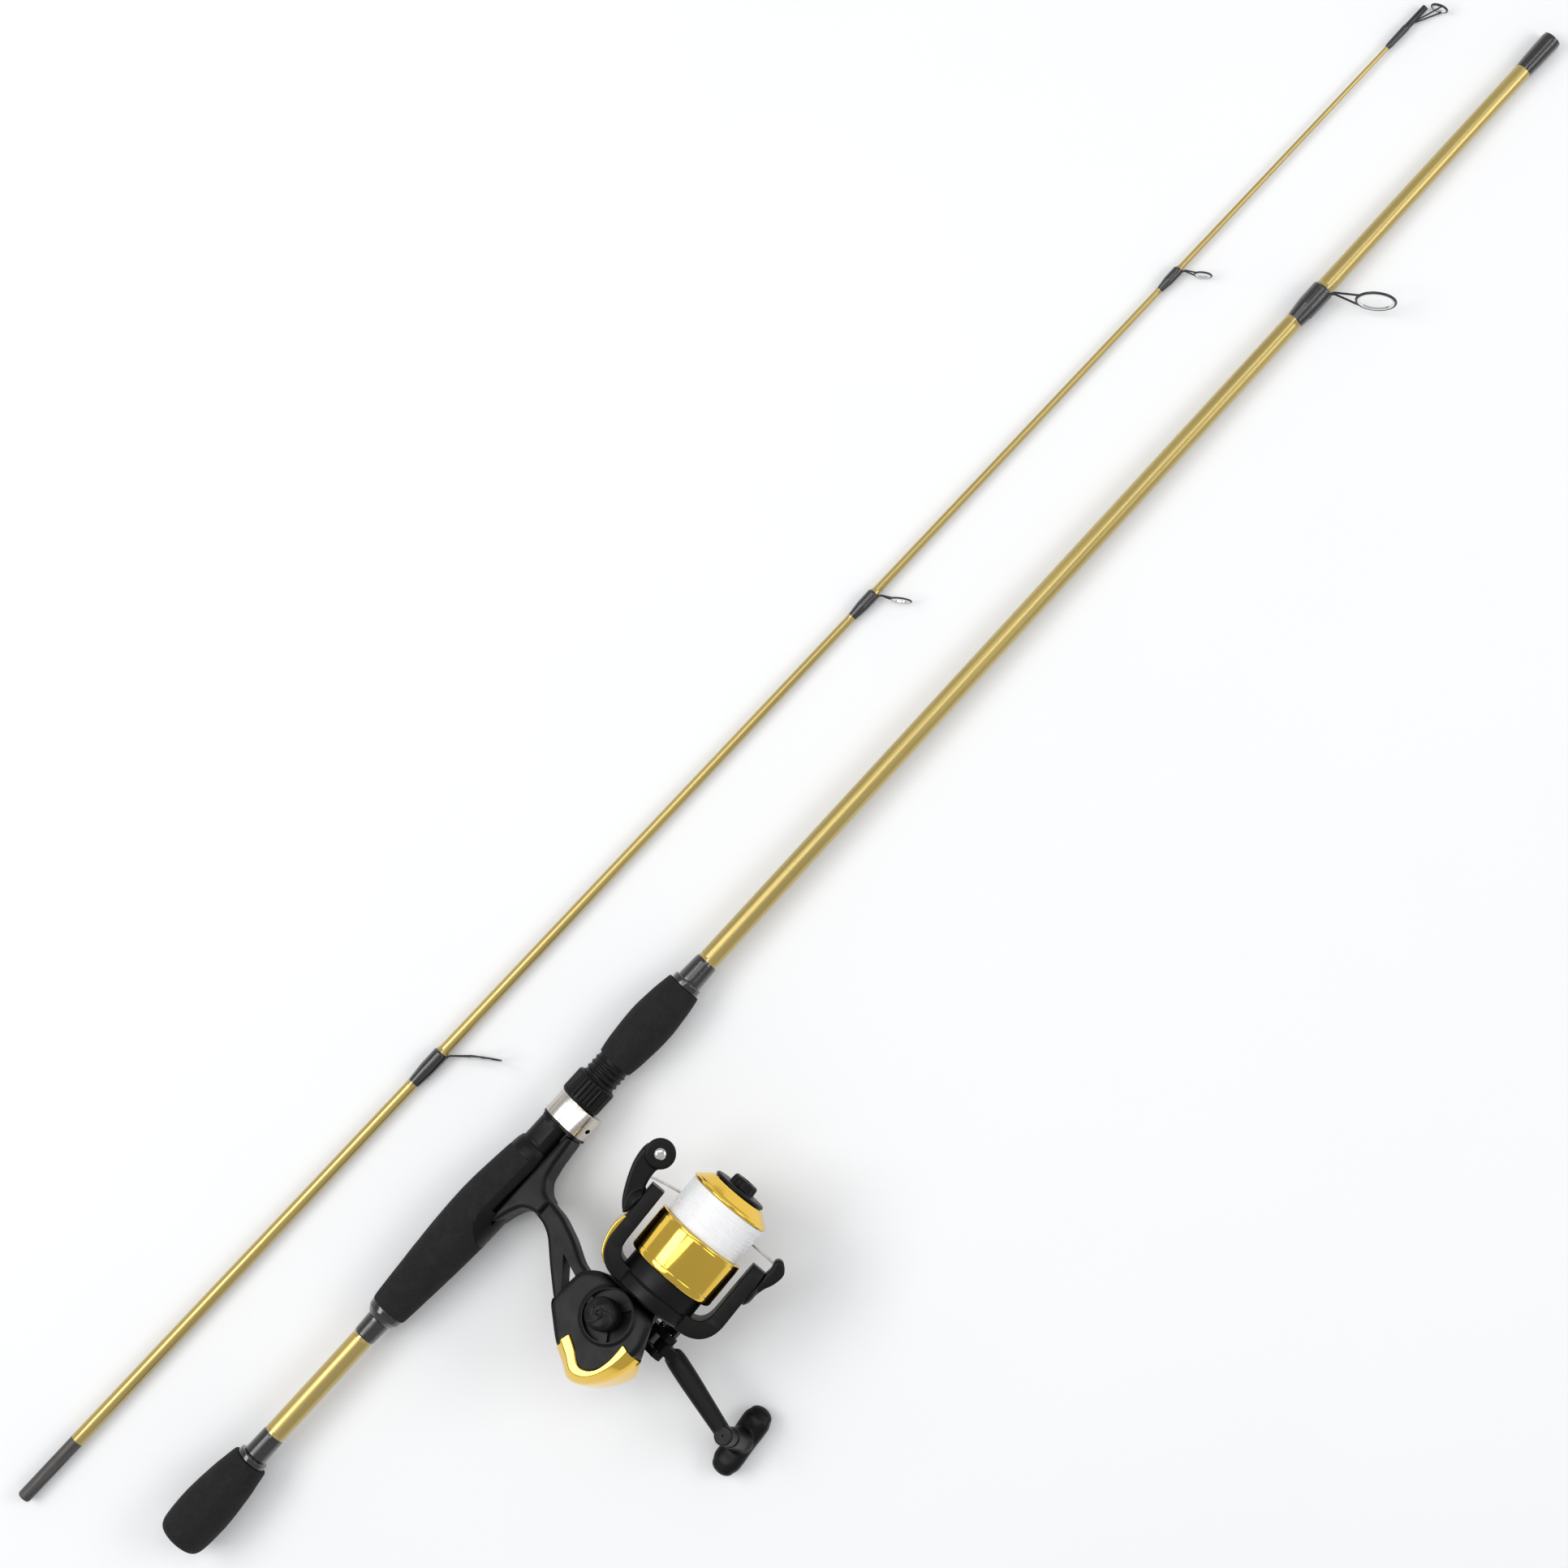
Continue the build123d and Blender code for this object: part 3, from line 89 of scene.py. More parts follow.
along_rod = joints["hood_slide"]["axis"]
along_crank = joints["crank_turn"]["axis"]
along_shaft = joints["spool_slip"]["axis"]
rod = frame_from(along_rod, along_crank, (DRIVE[0], 0, DRIVE[1]), joints["crank_turn"]["pos_m"])
shaft = frame_from(along_shaft, along_crank, (290, 0, 0), joints["spool_slip"]["pos_m"])
out_to_arm = -Vector(joints["bail_open"]["axis"])
turned = out_to_arm.cross(Vector(along_shaft))
rotor = frame_from(along_shaft, turned, (PIVOT_X, 0, 0), joints["bail_open"]["pos_m"])
along_tip = -Vector(mounts["ferrule_spigot"]["axis"])
eye_offset = Vector(mounts["guide_4_eye"]["pos_m"]) - Vector(mounts["ferrule_spigot"]["pos_m"])
down_to_eye = eye_offset - along_tip * along_tip.dot(eye_offset)
across_tip = (-down_to_eye).cross(along_tip)
tip = frame_from(along_tip, across_tip, (1, 0, 0), mounts["ferrule_spigot"]["pos_m"])
crank = rod @ seated((DRIVE[0], 0, DRIVE[1]), -90, "Z")

# ---- camera, floor and light --------------------------------------------------------------
camera = bpy.data.objects.new("camera", bpy.data.cameras.new("camera"))
bpy.context.scene.collection.objects.link(camera)
camera.location = (-0.00722, 0.08497, 1.445)
camera.rotation_euler = (0, 0, math.radians(-47.5))
camera.data.lens = 67.08
camera.data.sensor_width = 36
camera.data.clip_start = 0.05
bpy.context.scene.camera = camera
bpy.context.scene.view_settings.view_transform = "Standard"


def area_light(name, place, target, size, power, colour=(1, 1, 1)):
    light = bpy.data.lights.new(name, "AREA")
    light.shape = "RECTANGLE"
    light.size, light.size_y = size
    light.energy = power
    light.color = colour
    lamp = bpy.data.objects.new(name, light)
    bpy.context.scene.collection.objects.link(lamp)
    lamp.location = place
    lamp.rotation_euler = (Vector(target) - Vector(place)).to_track_quat("-Z", "Y").to_euler()
    return lamp


area_light("key", (-0.9, 1.5, 1.9), (0, 0, 0), (1.6, 1.0), 26)
area_light("fill", (1.2, -1.1, 1.5), (0, 0, 0), (1.2, 0.9), 11)
area_light("top", (0.3, 0.5, 2.3), (0, 0, 0), (2.2, 0.6), 12)
world = bpy.data.worlds.new("world")
bpy.context.scene.world = world
world.use_nodes = True
world.node_tree.nodes["Background"].inputs["Color"].default_value = (0.9, 0.92, 0.95, 1)
world.node_tree.nodes["Background"].inputs["Strength"].default_value = 0.55


# ---- materials ----------------------------------------------------------------------------
to_rod = rod.to_3x3().inverted().to_euler()


def node(tree, kind, **values):
    made = tree.nodes.new(kind)
    for name, value in values.items():
        made.inputs[name].default_value = value
    return made


def noise(tree, coords, stretch, detail=3.0, rough=0.5):
    """Noise whose cells are 1 / stretch metres along each axis."""
    scale = node(tree, "ShaderNodeMapping", Scale=stretch)
    tree.links.new(coords.outputs["Vector"], scale.inputs["Vector"])
    made = node(tree, "ShaderNodeTexNoise", Scale=1.0, Detail=detail, Roughness=rough)
    tree.links.new(scale.outputs["Vector"], made.inputs["Vector"])
    return made.outputs["Fac"]


def spread(tree, value, low, high, start=0.3, end=0.7):
    made = node(tree, "ShaderNodeMapRange")
    made.inputs["From Min"].default_value = start
    made.inputs["From Max"].default_value = end
    made.inputs["To Min"].default_value = low
    made.inputs["To Max"].default_value = high
    tree.links.new(value, made.inputs["Value"])
    return made.outputs["Result"]


def material(name, colour, rough, metal=0.0, shade=0.12, patch=(40, 40, 40), rough_by=0.05,
             smudge=(90, 90, 90), grain=(2500, 2500, 2500), bump=0.0, wear=0.0, **shader):
    """Surface with its colour and roughness varied over the given cells and a fine grain."""
    made = bpy.data.materials.new(name)
    made.use_nodes = True
    tree = made.node_tree
    surface = tree.nodes["Principled BSDF"]
    own = node(tree, "ShaderNodeTexCoord")
    coords = node(tree, "ShaderNodeMapping", Rotation=to_rod)
    tree.links.new(own.outputs["Object"], coords.inputs["Vector"])
    ramp = node(tree, "ShaderNodeValToRGB")
    ramp.color_ramp.elements[0].position = 0.3
    ramp.color_ramp.elements[1].position = 0.7
    ramp.color_ramp.elements[0].color = [c * (1 - shade) for c in colour] + [1]
    ramp.color_ramp.elements[1].color = [min(1, c * (1 + shade)) for c in colour] + [1]
    tree.links.new(noise(tree, coords, patch), ramp.inputs["Fac"])
    painted = ramp.outputs["Color"]
    if wear:
        geometry = node(tree, "ShaderNodeNewGeometry")
        edges = spread(tree, geometry.outputs["Pointiness"], 0, wear, 0.51, 0.6)
        mixed = tree.nodes.new("ShaderNodeMix")
        mixed.data_type = "RGBA"
        mixed.inputs["B"].default_value = [min(1, c * 3 + 0.01) for c in colour] + [1]
        tree.links.new(edges, mixed.inputs["Factor"])
        tree.links.new(painted, mixed.inputs["A"])
        painted = mixed.outputs["Result"]
    tree.links.new(painted, surface.inputs["Base Color"])
    rough_value = spread(tree, noise(tree, coords, smudge), max(0, rough - rough_by), rough + rough_by)
    tree.links.new(rough_value, surface.inputs["Roughness"])
    if bump:
        relief = node(tree, "ShaderNodeBump", Strength=bump, Distance=0.0002)
        tree.links.new(noise(tree, coords, grain, 2.0), relief.inputs["Height"])
        tree.links.new(relief.outputs["Normal"], surface.inputs["Normal"])
    surface.inputs["Metallic"].default_value = metal
    for socket, value in shader.items():
        surface.inputs[socket.replace("_", " ")].default_value = value
    return made


finishes = { "blank": material("champagne_lacquer", (0.50, 0.38, 0.125), 0.34, 0.72, 0.10, (6, 260, 260),
                               0.05, (14, 500, 500), (60, 2600, 2600), 0.10, Coat_Weight=0.35,
                               Coat_Roughness=0.18), "foam": material("eva_foam",
                                                                      (0.0085, 0.0083, 0.0082), 0.86,
                                                                      0.0, 0.45, (1500, 1500, 1500),
                                                                      0.06, (200, 200, 200),
                                                                      (2600, 2600, 2600), 0.55,
                                                                      Specular_IOR_Level=0.35),
            "gloss_black": material("gloss_thread", (0.012, 0.011, 0.011), 0.16, 0.0, 0.3,
                                    (3000, 60, 60), 0.05, (150, 150, 150), (4200, 120, 120), 0.12,
                                    Coat_Weight=0.9, Coat_Roughness=0.07),
            "black_plastic": material("satin_plastic", (0.0030, 0.0030, 0.0032), 0.42, 0.0, 0.15,
                                      (60, 60, 60), 0.05, (120, 120, 120), (3200, 3200, 3200), 0.06,
                                      0.04, Specular_IOR_Level=0.2),
            "hood_steel": material("turned_steel", (0.62, 0.58, 0.53), 0.27, 1.0, 0.10, (3500, 60, 60),
                                   0.08, (5200, 90, 90), (6500, 60, 60), 0.10),
            "bright_steel": material("plated_steel", (0.72, 0.70, 0.67), 0.20, 1.0, 0.08,
                                     (400, 400, 400), 0.07, (300, 300, 300), (2500, 2500, 2500), 0.04),
            "guide_wire": material("coated_wire", (0.03, 0.03, 0.031), 0.30, 0.3, 0.2, (300, 300, 300),
                                   0.08, (400, 400, 400), (3000, 3000, 3000), 0.06),
            "guide_ring": material("polished_ring", (0.78, 0.78, 0.78), 0.14, 1.0, 0.06, (500, 500, 500),
                                   0.05, (400, 400, 400), (3000, 3000, 3000), 0.03),
            "spigot": material("bare_fibre", (0.055, 0.050, 0.045), 0.55, 0.0, 0.55, (25, 420, 420),
                               0.12, (120, 600, 600), (300, 2500, 2500), 0.25),
            "gold": material("gold_plating", (0.86, 0.56, 0.085), 0.085, 1.0, 0.04, (30, 30, 30), 0.03,
                             (70, 70, 70), (1200, 1200, 1200), 0.012),
            "line": material("nylon_line", (0.86, 0.86, 0.86), 0.30, 0.0, 0.05, (2600, 120, 120), 0.08,
                             (600, 200, 200), (4000, 90, 90), 0.05, Subsurface_Weight=0.4,
                             Subsurface_Scale=0.002, Coat_Weight=0.3, Coat_Roughness=0.25),
            "brass": material("machined_brass", (0.78, 0.55, 0.24), 0.28, 1.0, 0.08, (300, 300, 300),
                              0.06, (900, 900, 900), (2500, 2500, 2500), 0.05),
            "gear_metal": material("cast_zinc", (0.55, 0.55, 0.56), 0.42, 1.0, 0.1, (300, 300, 300),
                                   0.08, (700, 700, 700), (2500, 2500, 2500), 0.12),
            "inner_plastic": material("natural_acetal", (0.74, 0.73, 0.68), 0.42, 0.0, 0.05,
                                      (200, 200, 200), 0.06, (300, 300, 300), (2500, 2500, 2500), 0.05),
            "roller_chrome": material("polished_roller", (0.80, 0.80, 0.80), 0.10, 1.0, 0.05,
                                      (400, 400, 400), 0.04, (400, 400, 400), (2500, 2500, 2500), 0.02), }
epoxy = material("clear_epoxy", (0.45, 0.33, 0.10), 0.15, 0.35, 0.12, (20, 500, 500), 0.05,
                 (200, 200, 200), (900, 900, 900), 0.05, Coat_Weight=1.0, Coat_Roughness=0.04)
floor_paper = material("studio_paper", (0.90, 0.90, 0.90), 0.80, 0.0, 0.01, (4, 4, 4), 0.03, (9, 9, 9),
                       (900, 900, 900), 0.02)

bpy.ops.mesh.primitive_plane_add(size=9, location=(0, 0, cad_low.z - 0.0002))
floor = bpy.context.object
floor.name = "floor"
floor.data.materials.append(floor_paper)
floor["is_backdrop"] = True

slot_of = {row["node"]: row["material_slot"] for row in record["subparts"]}
for name, carried in frame["nodes"].items():
    carried.data.materials.clear()
    carried.data.materials.append(finishes[slot_of[name]])


# ---- lines and sections -------------------------------------------------------------------
def eased(points, radius, steps=4, loop=False):
    """The run of corners with each one rounded off."""
    points = [Vector(p) for p in points]
    inner = list(zip(points[-1:] + points[:-1], points, points[1:] + points[:1]))
    out = []
    for index, (before, corner, after) in enumerate(inner):
        if not loop and index in (0, len(points) - 1):
            out.append(corner)
            continue
        cut = min(radius, 0.45 * (before - corner).length, 0.45 * (after - corner).length)
        start = corner + (before - corner).normalized() * cut
        end = corner + (after - corner).normalized() * cut
        for step in range(steps + 1):
            t = step / steps
            out.append((1 - t) ** 2 * start + 2 * t * (1 - t) * corner + t * t * end)
    return out


def smooth_run(keys, steps=6, loop=False):
    """Even curve through the key values, which are vectors or lists of numbers of one length."""
    keys = [list(key) for key in keys]
    count = len(keys)
    out = []
    for index in range(count if loop else count - 1):
        four = []
        for shift in (-1, 0, 1, 2):
            at = index + shift
            four.append(keys[at % count] if loop else keys[min(max(at, 0), count - 1)])
        for step in range(steps):
            t = step / steps
            row = []
            for a, b, c, d in zip(*four):
                bend = 2 * a - 5 * b + 4 * c - d + t * (3 * (b - c) + d - a)
                row.append(b + 0.5 * t * (c - a + t * bend))
            out.append(row)
    if not loop:
        out.append(keys[-1])
    return out


def mesh_object(name, points, faces, sharp=35):
    """Mesh from points in millimetres, with outward faces and its hard edges marked."""
    mesh = bpy.data.meshes.new(name)
    mesh.from_pydata([tuple(Vector(p) * MM) for p in points], [], faces)
    made = bpy.data.objects.new(name, mesh)
    bpy.context.scene.collection.objects.link(made)
    dress(made, sharp)
    return made


def dress(made, sharp=35):
    """Welds doubles, turns the faces outwards and shades smooth between the hard edges."""
    work = bmesh.new()
    work.from_mesh(made.data)
    bmesh.ops.remove_doubles(work, verts=work.verts, dist=2e-6)
    bmesh.ops.recalc_face_normals(work, faces=work.faces)
    for face in work.faces:
        face.smooth = True
    for edge in work.edges:
        edge.smooth = not (edge.is_manifold and edge.calc_face_angle(0) > math.radians(sharp))
    work.to_mesh(made.data)
    work.free()


def lathe(name, profile, segments=96, warp=None, sharp=35):
    """Profile of (x, radius) turned about X; closed on itself unless it starts on the axis."""
    closed = profile[0][1] > 1e-6
    points, faces = [], []
    for x, radius in profile:
        for index in range(segments):
            angle = 2 * math.pi * index / segments
            px, pr = warp(x, radius, angle) if warp else (x, radius)
            points.append((px, pr * math.cos(angle), pr * math.sin(angle)))
    rings = len(profile)
    for ring in range(rings if closed else rings - 1):
        after = (ring + 1) % rings
        for index in range(segments):
            beside = (index + 1) % segments
            faces.append((ring * segments + index, ring * segments + beside,
                          after * segments + beside, after * segments + index))
    return mesh_object(name, points, faces, sharp)


def sleeve(outline, bore):
    """Profile of a ring: the outline with its ends taken down to the bore."""
    return [(outline[0][0], bore)] + [tuple(p) for p in outline] + [(outline[-1][0], bore)]


def prism(name, outline, low, high, along="Y", bevel=0.0, segments=3, sharp=35):
    """Flat outline pushed along an axis: (x, z) points along Y, (y, z) along X or (x, y) along Z."""
    place = {
        "Y": lambda p, at: (p[0], at, p[1]),
        "X": lambda p, at: (at, p[0], p[1]),
        "Z": lambda p, at: (p[0], p[1], at),
    }[along]
    count = len(outline)
    points = [place(p, low) for p in outline] + [place(p, high) for p in outline]
    faces = [tuple(range(count)), tuple(range(count, 2 * count))]
    for index in range(count):
        beside = (index + 1) % count
        faces.append((index, beside, count + beside, count + index))
    made = mesh_object(name, points, faces, sharp)
    if bevel:
        work = bmesh.new()
        work.from_mesh(made.data)
        rims = [e for e in work.edges if e.calc_face_angle(0) > math.radians(50)]
        bmesh.ops.bevel(work, geom=rims, offset=bevel * MM, segments=segments, profile=0.5,
                        affect="EDGES", clamp_overlap=False)
        work.to_mesh(made.data)
        work.free()
        dress(made, sharp)
    return made


def loft(name, rings, sharp=40, loop=False):
    """Skin over rings of points; the ends are closed flat."""
    size = len(rings[0])
    points = [p for ring in rings for p in ring]
    faces = []
    for row in range(len(rings) if loop else len(rings) - 1):
        after = (row + 1) % len(rings)
        for index in range(size):
            beside = (index + 1) % size
            faces.append((row * size + index, row * size + beside, after * size + beside,
                          after * size + index))
    if not loop:
        faces.append(tuple(range(size)))
        faces.append(tuple(range(len(points) - size, len(points))))
    return mesh_object(name, points, faces, sharp)


def around(radius, angle, centre=(0, 0)):
    """Point of a circle in a sketch."""
    return centre[0] + radius * math.cos(angle), centre[1] + radius * math.sin(angle)


def oval(centre, across, up, wide, high, power=2.0, count=40):
    """Superellipse of half sizes wide and high about the centre."""
    centre, across, up = Vector(centre), Vector(across), Vector(up)
    ring = []
    for index in range(count):
        angle = 2 * math.pi * index / count
        c, s = math.cos(angle), math.sin(angle)
        u = math.copysign(abs(c) ** (2 / power), c) * wide
        v = math.copysign(abs(s) ** (2 / power), s) * high
        ring.append(centre + across * u + up * v)
    return ring


def heading(spots, index):
    """Direction of a run of points at one of them."""
    return (spots[min(index + 1, len(spots) - 1)] - spots[max(index - 1, 0)]).normalized()


def limb(name, keys, side, steps=6, count=40, round_ends=(True, True)):
    """Rounded bar through keys of (x, y, z, wide, high, power); wide is along the side direction."""
    side = Vector(side).normalized()
    rows = smooth_run(keys, steps)
    spots = [Vector(row[:3]) for row in rows]
    rings = []
    for index, row in enumerate(rows):
        run = heading(spots, index)
        across = (side - run * run.dot(side)).normalized()
        up = run.cross(across)
        rings.append((spots[index], run, across, up, row[3], row[4], row[5]))
    caps = [math.radians(a) for a in (86, 70, 52, 34, 17)]

    def cap(ring, angle, way):
        centre, run, across, up, wide, high, power = ring
        far = centre + run * way * min(wide, high) * math.sin(angle)
        return oval(far, across, up, wide * math.cos(angle), high * math.cos(angle), power, count)

    skins = [cap(rings[0], angle, -1) for angle in caps] if round_ends[0] else []
    for centre, run, across, up, wide, high, power in rings:
        skins.append(oval(centre, across, up, wide, high, power, count))
    if round_ends[1]:
        skins += [cap(rings[-1], angle, 1) for angle in reversed(caps)]
    return loft(name, skins)


def settle_mesh(made):
    """Applies the modifiers of an object to its mesh."""
    seen = bpy.context.evaluated_depsgraph_get()
    mesh = bpy.data.meshes.new_from_object(made.evaluated_get(seen))
    made.modifiers.clear()
    made.data = mesh


def carve(made, cutter, operation="DIFFERENCE"):
    change = made.modifiers.new("carve", "BOOLEAN")
    change.object = cutter
    change.operation = operation
    change.solver = "EXACT"
    bpy.context.view_layer.update()
    settle_mesh(made)
    bpy.data.objects.remove(cutter)


def moulded(name, solids, cell=0.5, passes=8):
    """The solids run together into one skin with soft fillets, as in a moulding."""
    work = bmesh.new()
    for solid in solids:
        solid.data.transform(solid.matrix_world)
        work.from_mesh(solid.data)
    mesh = bpy.data.meshes.new(name)
    work.to_mesh(mesh)
    work.free()
    made = bpy.data.objects.new(name, mesh)
    bpy.context.scene.collection.objects.link(made)
    for solid in solids:
        bpy.data.objects.remove(solid)
    skin = made.modifiers.new("skin", "REMESH")
    skin.mode = "VOXEL"
    skin.voxel_size = cell * MM
    soften = made.modifiers.new("soften", "SMOOTH")
    soften.factor = 0.5
    soften.iterations = passes
    bpy.context.view_layer.update()
    settle_mesh(made)
    return made


def shifted(made, matrix):
    made.data.transform(matrix)
    return made


def finish_piece(made, place, body, slot, nodes=(), look=None):
    """Puts a piece in its frame, on its body, in its finish and in the stead of its CAD nodes."""
    made.data.transform(place)
    made.data.materials.clear()
    made.data.materials.append(look or finishes[slot])
    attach(made, body)
    if nodes:
        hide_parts(*nodes)
    return made


# ---- rod blanks ---------------------------------------------------------------------------
def blank_profile(runs):
    """Tapered run split into short rings, so that it shades evenly."""
    out = []
    for (xa, ra), (xb, rb) in zip(runs, runs[1:]):
        count = max(1, int((xb - xa) / 12))
        for index in range(count):
            t = index / count
            out.append((xa + (xb - xa) * t, ra + (rb - ra) * t))
    out.append(runs[-1])
    return out


SOCKET_R = 3.5
butt_run = [(3.5, 5.55), (330, 5.55), (384, 5.3), (999.3, 4.05), (1000, 3.95)]
butt_skin = sleeve(blank_profile(butt_run), SOCKET_R + 0.03)
finish_piece(lathe("butt_blank_skin", butt_skin), rod, "butt_section", "blank",
             ("butt_blank", "ferrule_socket"))
tip_run = [(38.6, 3.5), (39.2, 3.56), (290, 2.95), (600, 2.15), (825, 1.5), (1004, 1.0)]
tip_skin = sleeve(blank_profile(tip_run), 0.6)
finish_piece(lathe("tip_blank_skin", tip_skin, 72), tip, "tip_section", "blank", ("tip_blank",))
spigot_outline = eased([(0, 3.0), (0.8, 3.45), (38.7, 3.45)], 0.5)
spigot = lathe("ferrule_spigot_skin", sleeve(spigot_outline, 1.4), 72)
finish_piece(spigot, tip, "tip_section", "spigot", ("ferrule_spigot",))


# ---- foam grips ---------------------------------------------------------------------------
def foam_warp(depth):
    """Slight unevenness of the turned foam."""
    phases = [(random.uniform(0, 6.28), random.uniform(0.5, 2.2), random.randint(1, 5)) for _ in range(6)]

    def warp(x, radius, angle):
        swell = sum(math.sin(rate * x * 0.3 + phase + turns * angle) for phase, rate, turns in phases)
        return x, radius + depth * swell / 6 if radius > 6.2 else radius

    return warp


FOAM_DEPTH = 0.05
butt_keys = [(0.2, 4.5), (0.6, 8.4), (2.6, 11.3), (8, 12.7), (22, 13.2), (38, 11.95), (46, 10.8),
             (52.2, 9.75), (53.1, 9.3)]
butt_outline = [(0, 0)] + smooth_run(butt_keys, 9) + [(53.1, 0)]
butt_foam = lathe("butt_grip_foam", butt_outline, 144, foam_warp(FOAM_DEPTH), 50)
finish_piece(butt_foam, rod, "butt_section", "foam", ("butt_grip",))
fore_keys = [(317.2, 8.9), (317.9, 9.6), (328, 10.95), (343, 11.75), (356, 10.8), (366, 9.35), (366.8, 8.7)]
fore_foam = lathe("fore_grip_foam", sleeve(smooth_run(fore_keys, 9), 5.6), 144, foam_warp(FOAM_DEPTH), 50)
finish_piece(fore_foam, rod, "butt_section", "foam", ("fore_grip",))
rear_keys = [(153.4, 9.0), (154.2, 9.8), (165, 10.75), (190, 12.6), (204, 13.35), (218, 13.68), (230, 13.3),
             (244, 12.1), (253.4, 11.1), (254.1, 10.6)]
rear_outline = smooth_run(rear_keys, 9)
rear_foam = lathe("rear_grip_foam", sleeve(rear_outline, 8.55), 144, foam_warp(FOAM_DEPTH), 50)


TONGUE_HALF = 12.4
TONGUE_TOP = -6.0
FOOT_TOP = -9.1


def tongue_outline(grow):
    """Plan of the seat's tongue: straight sides and a round nose."""
    half = TONGUE_HALF + grow
    arc = [(219 - half * math.sin(math.pi * k / 36), half * math.cos(math.pi * k / 36)) for k in range(37)]
    return [(258 + grow, half)] + arc + [(258 + grow, -half)]


opening = prism("opening", tongue_outline(0.12), -17, TONGUE_TOP + 0.15, "Z")
carve(rear_foam, opening)
dress(rear_foam, 50)
finish_piece(rear_foam, rod, "butt_section", "foam", ("rear_grip",))


# ---- trim rings and thread wraps ----------------------------------------------------------
def ring_piece(name, outline, bore, place, body, slot, nodes=(), radius=0.5, look=None, segments=96,
               warp=None):
    made = lathe(name, sleeve(eased(outline, radius), bore), segments, warp)
    return finish_piece(made, place, body, slot, nodes, look)


check_outlines = [
    [(53.2, 7.4), (53.4, 7.9), (56.2, 7.9), (56.4, 7.3)],
    [(146.6, 6.5), (147.2, 7.4), (150, 9.2), (152, 9.45), (153.2, 9.45), (153.3, 9.0)],
    [(366.9, 7.5), (367.2, 7.9), (370.2, 7.9), (370.7, 7.3)],
]
for index, outline in enumerate(check_outlines):
    nodes = ("grip_checks",) if index == 0 else ()
    ring_piece(f"grip_check_{index + 1}", outline, 5.57, rod, "butt_section", "gloss_black", nodes)


def thread_wrap(name, outline, bore, place, body, nodes=(), pitch=0.42, foot=0.0):
    """Wound thread under clear coat: close ribs that fade out under the coat's ends."""
    start, end = outline[0][0], outline[-1][0]
    count = int((end - start) / pitch)
    rows = []
    for index in range(count * 4 + 1):
        x = start + (end - start) * index / (count * 4)
        for (xa, ra), (xb, rb) in zip(outline, outline[1:]):
            if xa <= x <= xb:
                radius = ra + (rb - ra) * (x - xa) / (xb - xa)
        edge = min(1, (x - start) / 1.6, (end - x) / 1.6)
        rows.append((x, radius + 0.028 * max(0, edge) * math.cos(math.pi * index / 2)))

    def over_foot(x, radius, angle):
        bulge = max(0, -math.sin(angle)) ** 3
        return x, radius if radius <= bore + 1e-6 else radius - foot * (1 - bulge)

    made = lathe(name, sleeve(rows, bore), 72, over_foot if foot else None, 60)
    finish_piece(made, place, body, "gloss_black", nodes)
    return made


def epoxy_end(name, x, step, radius, thick, place, body):
    """Clear coat that runs out from the end of a wrap on to the blank."""
    outline = [(x, radius + thick), (x + step * 0.8, radius + thick * 0.55),
               (x + step * 1.8, radius + 0.03)]
    if step < 0:
        outline.reverse()
    ring_piece(name, outline, radius - 0.05, place, body, "gloss_black", (), 0.5, epoxy, 72)


wraps = [("trim_wrap_1", [(56.5, 5.95), (57.2, 6.15), (69.5, 5.95), (70.7, 5.7)], 5.56, rod,
          "butt_section", ("butt_wraps",), 0), ("trim_wrap_2",
                                                [(135.4, 5.7), (136.4, 5.95), (145.8, 6.35),
                                                 (146.5, 6.3)], 5.56, rod, "butt_section", (), 0),
         ("trim_wrap_3", [(370.8, 6.5), (371.6, 6.6), (382.6, 6.1), (384, 5.75)], 5.4, rod,
          "butt_section", ("fore_wrap",), 0), ("ferrule_wrap_skin",
                                               [(979, 4.25), (981, 4.5), (988, 4.8), (998, 5.0),
                                                (1000, 4.8)], 4.09, rod, "butt_section",
                                               ("ferrule_wrap",), 0),
         ("tip_top_wrap_skin", [(981.4, 1.3), (983, 1.6), (990, 1.8), (995, 1.9), (996, 1.7)], 1.12, tip,
          "tip_section", ("tip_top_wrap",), 0),]
guide_seats = [
    (1, rod, "butt_section", 811.0, 833.0, 4.42, 0.6),
    (2, tip, "tip_section", 280.5, 301.2, 2.99, 0.5),
    (3, tip, "tip_section", 595.9, 612.4, 2.18, 0.45),
    (4, tip, "tip_section", 817.3, 831.7, 1.55, 0.45),
]
for number, place, body, start, end, seat_r, wire_r in guide_seats:
    crown = seat_r + 2 * wire_r + 0.3
    outline = [(start, seat_r + 0.2), (start + 1.2, seat_r + 0.4),
               (start + 0.45 * (end - start), crown - 0.1), (end - 1, crown), (end, seat_r + 0.5)]
    wraps.append((f"guide_{number}_wrap_skin", outline, seat_r, place, body, (f"guide_{number}_wrap",),
                  0.5 * wire_r))
for name, outline, bore, place, body, nodes, foot in wraps:
    thread_wrap(name, outline, bore, place, body, nodes, 0.42, foot)
epoxy_end("epoxy_trim_1", 70.6, 1, 5.55, 0.14, rod, "butt_section")
epoxy_end("epoxy_trim_2", 135.5, -1, 5.55, 0.14, rod, "butt_section")
epoxy_end("epoxy_trim_3", 383.9, 1, 5.3, 0.3, rod, "butt_section")
for number, place, body, start, end, seat_r, wire_r in guide_seats:
    epoxy_end(f"epoxy_guide_{number}_a", start + 0.1, -1, seat_r + 0.02, 0.2, place, body)
    epoxy_end(f"epoxy_guide_{number}_b", end - 0.1, 1, seat_r - 0.02, 0.45, place, body)

